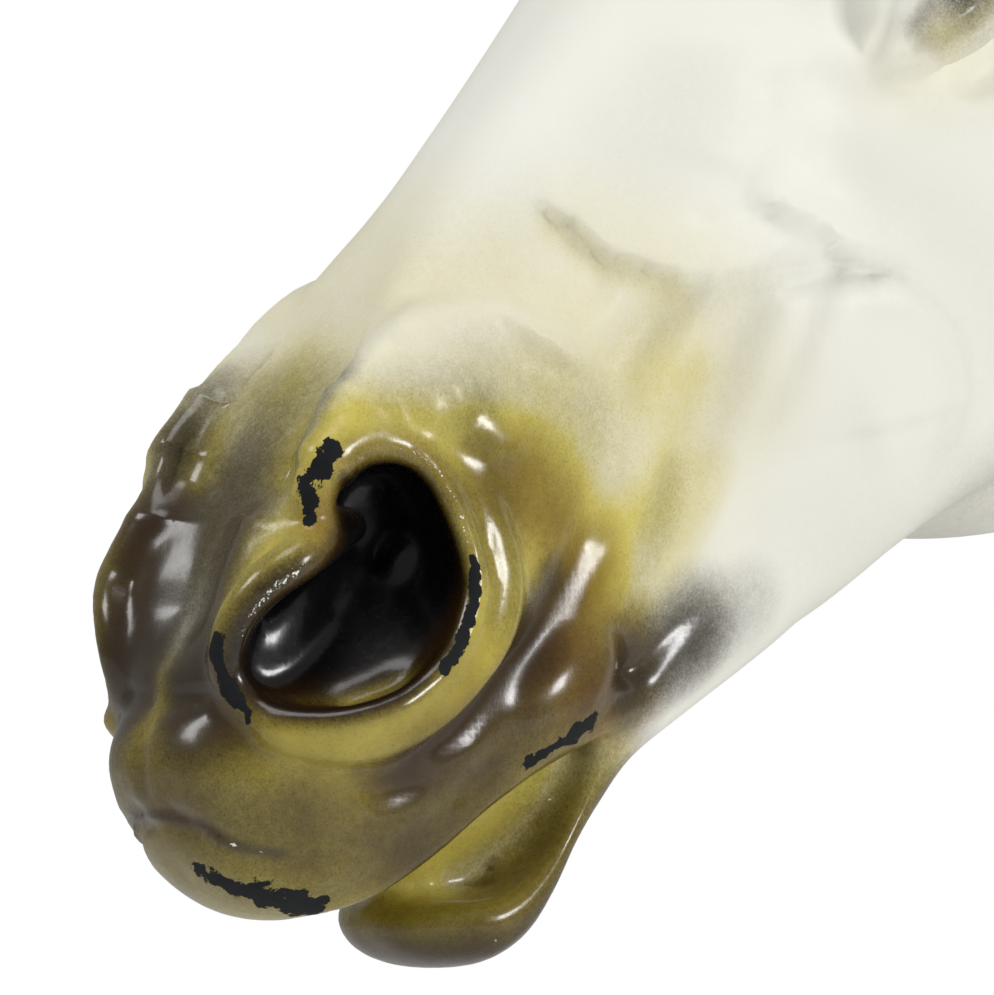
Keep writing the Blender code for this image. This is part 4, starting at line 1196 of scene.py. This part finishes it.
def depth_inside_nostril(clay):
    """How far inside the nostril's edge each point lies, in parts, seen along the hollow.

    It is negative outside.
    """
    across = INTO_NOSTRIL.orthogonal().normalized()
    upwards = INTO_NOSTRIL.cross(across)
    loop = closed_spline([(p.dot(across), p.dot(upwards)) for p in nostril_opening()], 4)
    back = np.array(clay.axes.head.inverted())
    places = clay.points @ back[:3, :3].T + back[:3, 3]
    places[:, 0] = np.abs(places[:, 0])
    along = (places[:, 1] < NOSTRIL_BACK) & (places[:, 1] > NOSTRIL_FRONT)
    near = np.flatnonzero(along & (places[:, 0] < NOSTRIL_OUT))
    flat = np.stack((places[near] @ np.array(across), places[near] @ np.array(upwards)), axis=1)
    gap = np.full(len(near), 1e9)
    winding = np.zeros(len(near))
    for start, end in zip(loop, np.roll(loop, -1, axis=0)):
        leg = end - start
        share = np.clip((flat - start) @ leg / (leg @ leg), 0, 1)
        gap = np.minimum(gap, np.linalg.norm(flat - start - share[:, None] * leg, axis=1))
        a, b = start - flat, end - flat
        winding += np.arctan2(a[:, 0] * b[:, 1] - a[:, 1] * b[:, 0], (a * b).sum(1))
    within = np.abs(winding) > math.pi
    inside = np.full(len(places), -99.0)
    inside[near] = np.where(within, gap, -gap)
    return inside


# Materials

# How many grains of each noise there are in a metre
FINE_GRAIN = 2600
MEDIUM_GRAIN = 700
LUMPS = 260
BROAD_GRAIN = 60
BRISTLES = (900, 900, 260)

# How strongly each paint is speckled, in the order that they are sprayed over the ochre
OCHRE_SPECKLE = 0.35
SPECKLE = {"sienna": 0.5, "umber": 0.7, "grey_and_shade": 0.7, "black": 1.4}

# Gloss: roughness of the bare white, how much smoother the paint is and how much rougher the chips,
# and the clear coat on the paint
WHITE_ROUGHNESS = 0.46
PAINT_SMOOTHER = 0.21
CHIP_ROUGHER = 0.5
SPECULAR_LEVEL = 0.24
COAT_WEIGHT = 0.36
COAT_ROUGHNESS = 0.16

# Depth of the finest relief, in metres
BUMP_DEPTH = 0.0002


class Nodes:
    """Short calls that add nodes to one node tree."""

    def __init__(self, tree):
        self.tree = tree

    def add(self, kind, inputs=(), **settings):
        node = self.tree.nodes.new(kind)
        for name, value in settings.items():
            setattr(node, name, value)
        for key, value in dict(inputs).items():
            self.put(node.inputs[key], value)
        return node

    def put(self, socket, value):
        if isinstance(value, bpy.types.NodeSocket):
            self.tree.links.new(value, socket)
        else:
            socket.default_value = value

    def math(self, operation, a, b, clamp=False):
        return self.add("ShaderNodeMath", {0: a, 1: b}, operation=operation, use_clamp=clamp).outputs[0]

    def ramp(self, value, low, high):
        """A smooth step from 0 at low to 1 at high."""
        inputs = {0: value, 1: low, 2: high}
        return self.add("ShaderNodeMapRange", inputs, interpolation_type="SMOOTHSTEP").outputs[0]

    def noise(self, coordinates, scale, detail):
        inputs = {"Vector": coordinates, "Scale": scale, "Detail": detail, "Roughness": 0.6}
        return self.add("ShaderNodeTexNoise", inputs).outputs[0]

    def around_zero(self, value, strength):
        """A noise, which lies round a half, moved to lie round zero and scaled by strength."""
        return self.math("MULTIPLY", self.math("SUBTRACT", value, 0.5), strength)

    def colour_ramp(self, value, stops):
        node = self.add("ShaderNodeValToRGB", {0: value})
        elements = node.color_ramp.elements
        while len(elements) < len(stops):
            elements.new(0.5)
        for element, (position, colour) in zip(elements, stops):
            element.position = position
            element.color = with_alpha(colour)
        return node.outputs[0]

    def mix(self, factor, a, b):
        node = self.add("ShaderNodeMix", data_type="RGBA")
        self.put(node.inputs[0], factor)
        self.put(node.inputs[6], a)
        self.put(node.inputs[7], b)
        return node.outputs[2]


def with_alpha(colour):
    return (*colour, 1)


def airbrushed(nodes, density, grain, strength):
    """Turns a smooth density of spray into fine speckle: most in the half tones, none at the ends."""
    bare = nodes.math("SUBTRACT", 1.0, density)
    half_tone = nodes.math("MULTIPLY", nodes.math("MULTIPLY", density, bare), 4.0)
    speckle = nodes.math("MULTIPLY", nodes.around_zero(grain, strength), half_tone)
    return nodes.math("ADD", density, speckle, clamp=True)


def painted_plaster(paint):
    """Matte cream plaster, sprayed with glossy ochre, sienna, umber and black, and chipped bare."""
    material = bpy.data.materials.new(SLOT)
    material.use_nodes = True
    nodes = Nodes(material.node_tree)
    shader = material.node_tree.nodes["Principled BSDF"]
    coordinates = nodes.add("ShaderNodeTexCoord").outputs["Object"]
    layer = {
        name: nodes.add("ShaderNodeAttribute", attribute_name=name).outputs["Fac"] for name in LAYERS
    }

    fine = nodes.noise(coordinates, FINE_GRAIN, 2)
    medium = nodes.noise(coordinates, MEDIUM_GRAIN, 3)
    broad = nodes.noise(coordinates, BROAD_GRAIN, 3)
    lumps = nodes.noise(coordinates, LUMPS, 2)
    stretched = nodes.add("ShaderNodeMapping", {"Vector": coordinates, "Scale": BRISTLES})
    bristles = nodes.noise(stretched.outputs[0], 1.0, 3)
    grain = nodes.math("ADD", nodes.math("MULTIPLY", fine, 0.6), nodes.math("MULTIPLY", medium, 0.4))

    # ochre, unevenly sprayed over the white, then the darker paints over it
    uneven = nodes.math("MULTIPLY", nodes.around_zero(broad, 0.7), layer["ochre"])
    ochre = nodes.math("ADD", layer["ochre"], uneven, clamp=True)
    colour = nodes.colour_ramp(
        airbrushed(nodes, ochre, grain, OCHRE_SPECKLE),
        ((0, paint.plaster), (0.5, paint.pale_ochre), (1, paint.ochre)),
    )
    for name, strength in SPECKLE.items():
        cover = airbrushed(nodes, layer[name], grain, strength)
        colour = nodes.mix(cover, colour, with_alpha(getattr(paint, name)))

    # stray dark specks over the ochre
    specks = nodes.math("MULTIPLY", nodes.ramp(fine, 0.62, 0.70), layer["ochre"])
    colour = nodes.mix(nodes.math("MULTIPLY", specks, 0.30), colour, with_alpha(paint.umber))

    # rubbed edges, flecks and painted highlight speckle, back to the white
    wear_and_glint_cover = nodes.ramp(nodes.math("ADD", layer["wear_and_glint"], nodes.around_zero(grain, 1.6)), 0.62, 0.74)
    wear_and_glint_cover = nodes.math("MULTIPLY", wear_and_glint_cover, nodes.ramp(layer["wear_and_glint"], 0.0, 0.2))
    colour = nodes.mix(wear_and_glint_cover, colour, with_alpha(paint.plaster))

    # bare chips with ragged edges
    ragged = nodes.math("ADD", nodes.around_zero(medium, 0.8), nodes.around_zero(lumps, 1.7))
    ragged = nodes.math("ADD", ragged, nodes.around_zero(fine, 0.3))
    chipped = nodes.ramp(nodes.math("ADD", layer["chip"], ragged), 0.40, 0.47)
    chipped = nodes.math("MULTIPLY", chipped, nodes.ramp(layer["chip"], 0.0, 0.12))
    colour = nodes.mix(chipped, colour, with_alpha(paint.chip))
    nodes.put(shader.inputs["Base Color"], colour)

    # the paint is glossier than the bare white, and the chips are dull
    painted = nodes.math("ADD", layer["ochre"], nodes.math("ADD", layer["umber"], layer["grey_and_shade"]))
    painted = nodes.ramp(painted, 0.25, 1.1)
    smoother = nodes.math("MULTIPLY", painted, PAINT_SMOOTHER)
    roughness = nodes.math("SUBTRACT", WHITE_ROUGHNESS, smoother)
    roughness = nodes.math("ADD", roughness, nodes.around_zero(medium, 0.2))
    rougher = nodes.math("MULTIPLY", chipped, CHIP_ROUGHER)
    nodes.put(shader.inputs["Roughness"], nodes.math("ADD", roughness, rougher, clamp=True))
    coat = nodes.math("MULTIPLY", nodes.math("POWER", painted, 2.0), COAT_WEIGHT)
    nodes.put(shader.inputs["Coat Weight"], nodes.math("SUBTRACT", coat, chipped, clamp=True))
    shader.inputs["Coat Roughness"].default_value = COAT_ROUGHNESS
    shader.inputs["Specular IOR Level"].default_value = SPECULAR_LEVEL

    height = nodes.math("ADD", nodes.math("MULTIPLY", fine, 0.12), nodes.math("MULTIPLY", medium, 0.25))
    height = nodes.math("ADD", height, nodes.math("MULTIPLY", bristles, 0.35))
    height = nodes.math("SUBTRACT", height, chipped)
    bump = nodes.add("ShaderNodeBump", {"Height": height, "Strength": 0.35, "Distance": BUMP_DEPTH})
    nodes.put(shader.inputs["Normal"], bump.outputs[0])
    return material


class HORSEBUST_OT_paint(bpy.types.Operator):
    """Give the modelled bust its painted finish"""

    bl_idname = "horsebust.paint"
    bl_label = "Paint the bust"

    def execute(self, context):
        bust = bpy.data.objects[SKIN]
        bust.data.materials.clear()
        bust.data.materials.append(painted_plaster(context.scene.bust_paint))
        return {"FINISHED"}


# Stage

# The place on the head that the camera is aimed by, and where the picture shows it from its middle,
# as shares of its width
AIM_PLACE = (0, 18.15, 13.35)
AIM_RIGHT = -0.2988
AIM_UP = -0.2037


# Name, direction from the lit place as right, up and towards the camera, size and power
SOFTBOXES = (
    ("left_softbox", (-0.72, 0.60, 0.35), (0.30, 0.30), 3.3),
    ("right_softbox", (0.80, 0.20, 0.55), (0.19, 0.22), 4.5),
    ("top_softbox", (-0.1, 0.95, 0.30), (0.42, 0.42), 2.5),
)
SOFTBOX_DISTANCE = 1.0

# The place on the head that the lights look at, and how strongly the surroundings light it
LIT_PLACE = (0, 60, 0)
SURROUNDINGS = 0.32

FLOOR_RADIUS = 1.3


def aim(obj, back):
    """Turns a camera or a light so that it looks against back."""
    obj.rotation_euler = back.to_track_quat("Z", "Y").to_euler()


def studio_world():
    """White to the camera, and dimmer as a light, so that the softboxes model the form."""
    world = bpy.data.worlds.new("studio")
    world.use_nodes = True
    nodes = Nodes(world.node_tree)
    lighting = world.node_tree.nodes["Background"]
    lighting.inputs["Color"].default_value = (1, 1, 1, 1)
    lighting.inputs["Strength"].default_value = SURROUNDINGS
    backdrop = nodes.add("ShaderNodeBackground", {"Color": (1, 1, 1, 1), "Strength": 1.0})
    seen = nodes.add("ShaderNodeLightPath").outputs["Is Camera Ray"]
    both = nodes.add("ShaderNodeMixShader", {0: seen, 1: lighting.outputs[0], 2: backdrop.outputs[0]})
    output = world.node_tree.nodes["World Output"]
    nodes.put(output.inputs["Surface"], both.outputs[0])
    return world


def softbox(name, place, target, size, power):
    data = bpy.data.lights.new(name, "AREA")
    data.shape = "RECTANGLE"
    data.size, data.size_y = size
    data.energy = power
    light = bpy.data.objects.new(name, data)
    light.location = place
    aim(light, light.location - target)
    bpy.context.scene.collection.objects.link(light)


class HORSEBUST_OT_stage(bpy.types.Operator):
    """Lay a pale floor, and set up the soft lights and the camera"""

    bl_idname = "horsebust.stage"
    bl_label = "Set the stage"

    def execute(self, context):
        studio = context.scene.bust_studio
        axes = Axes(context.scene.bust_sizes)
        self.lay_floor(studio)
        self.light(context, studio, axes)
        self.place_camera(context, studio, axes)
        return {"FINISHED"}

    def lay_floor(self, studio):
        bm = bmesh.new()
        bmesh.ops.create_circle(bm, cap_ends=True, segments=96, radius=FLOOR_RADIUS)
        floor = new_object("floor", bm, Matrix.Identity(4))
        material = bpy.data.materials.new("floor_paper")
        material.use_nodes = True
        shader = material.node_tree.nodes["Principled BSDF"]
        shader.inputs["Base Color"].default_value = with_alpha(studio.backdrop)
        shader.inputs["Roughness"].default_value = 0.9
        floor.data.materials.append(material)

    def light(self, context, studio, axes):
        context.scene.world = studio_world()
        context.scene.view_settings.view_transform = "Standard"
        right, up, towards = view_axes(studio)
        target = axes.head @ Vector(LIT_PLACE)
        for name, (r, u, t), size, power in SOFTBOXES:
            direction = (right * r + up * u + towards * t).normalized()
            softbox(name, target + direction * SOFTBOX_DISTANCE, target, size, power)

    def place_camera(self, context, studio, axes):
        right, up, towards = view_axes(studio)
        middle = axes.head @ Vector(AIM_PLACE) - (right * AIM_RIGHT + up * AIM_UP) * studio.view_width
        data = bpy.data.cameras.new("photo_camera")
        data.lens = data.sensor_width * studio.camera_distance / studio.view_width
        data.clip_start = 0.01
        data.clip_end = 20
        camera = bpy.data.objects.new("photo_camera", data)
        camera.location = middle + towards * studio.camera_distance
        aim(camera, towards)
        context.scene.collection.objects.link(camera)
        context.scene.camera = camera


def view_axes(studio):
    """Rightwards, upwards and towards the camera, as the picture has them."""
    a = studio.camera_azimuth
    towards = Vector((math.sin(a), -math.cos(a), 0))
    up = Vector((0, 0, 1))
    return up.cross(towards), up, towards


class HORSEBUST_PT_panel(bpy.types.Panel):
    bl_idname = "HORSEBUST_PT_panel"
    bl_label = "Horse bust"
    bl_space_type = "VIEW_3D"
    bl_region_type = "UI"
    bl_category = "Horse bust"

    def draw(self, context):
        layout = self.layout
        for step in STEPS:
            layout.operator(step.bl_idname)
        for name, group in SETTINGS.items():
            box = layout.box()
            for key in group.__annotations__:
                box.prop(getattr(context.scene, name), key)


SETTINGS = {"bust_sizes": BustSizes, "bust_paint": BustPaint, "bust_studio": StudioSettings}
STEPS = (HORSEBUST_OT_model, HORSEBUST_OT_paint, HORSEBUST_OT_stage)


def register():
    for cls in (*SETTINGS.values(), *STEPS, HORSEBUST_PT_panel):
        bpy.utils.register_class(cls)
    for name, group in SETTINGS.items():
        setattr(bpy.types.Scene, name, PointerProperty(type=group))


def unregister():
    for name in SETTINGS:
        delattr(bpy.types.Scene, name)
    for cls in reversed((*SETTINGS.values(), *STEPS, HORSEBUST_PT_panel)):
        bpy.utils.unregister_class(cls)


def main():
    register()
    bpy.ops.horsebust.model()
    bpy.ops.horsebust.paint()
    bpy.ops.horsebust.stage()


if __name__ == "__main__":
    main()
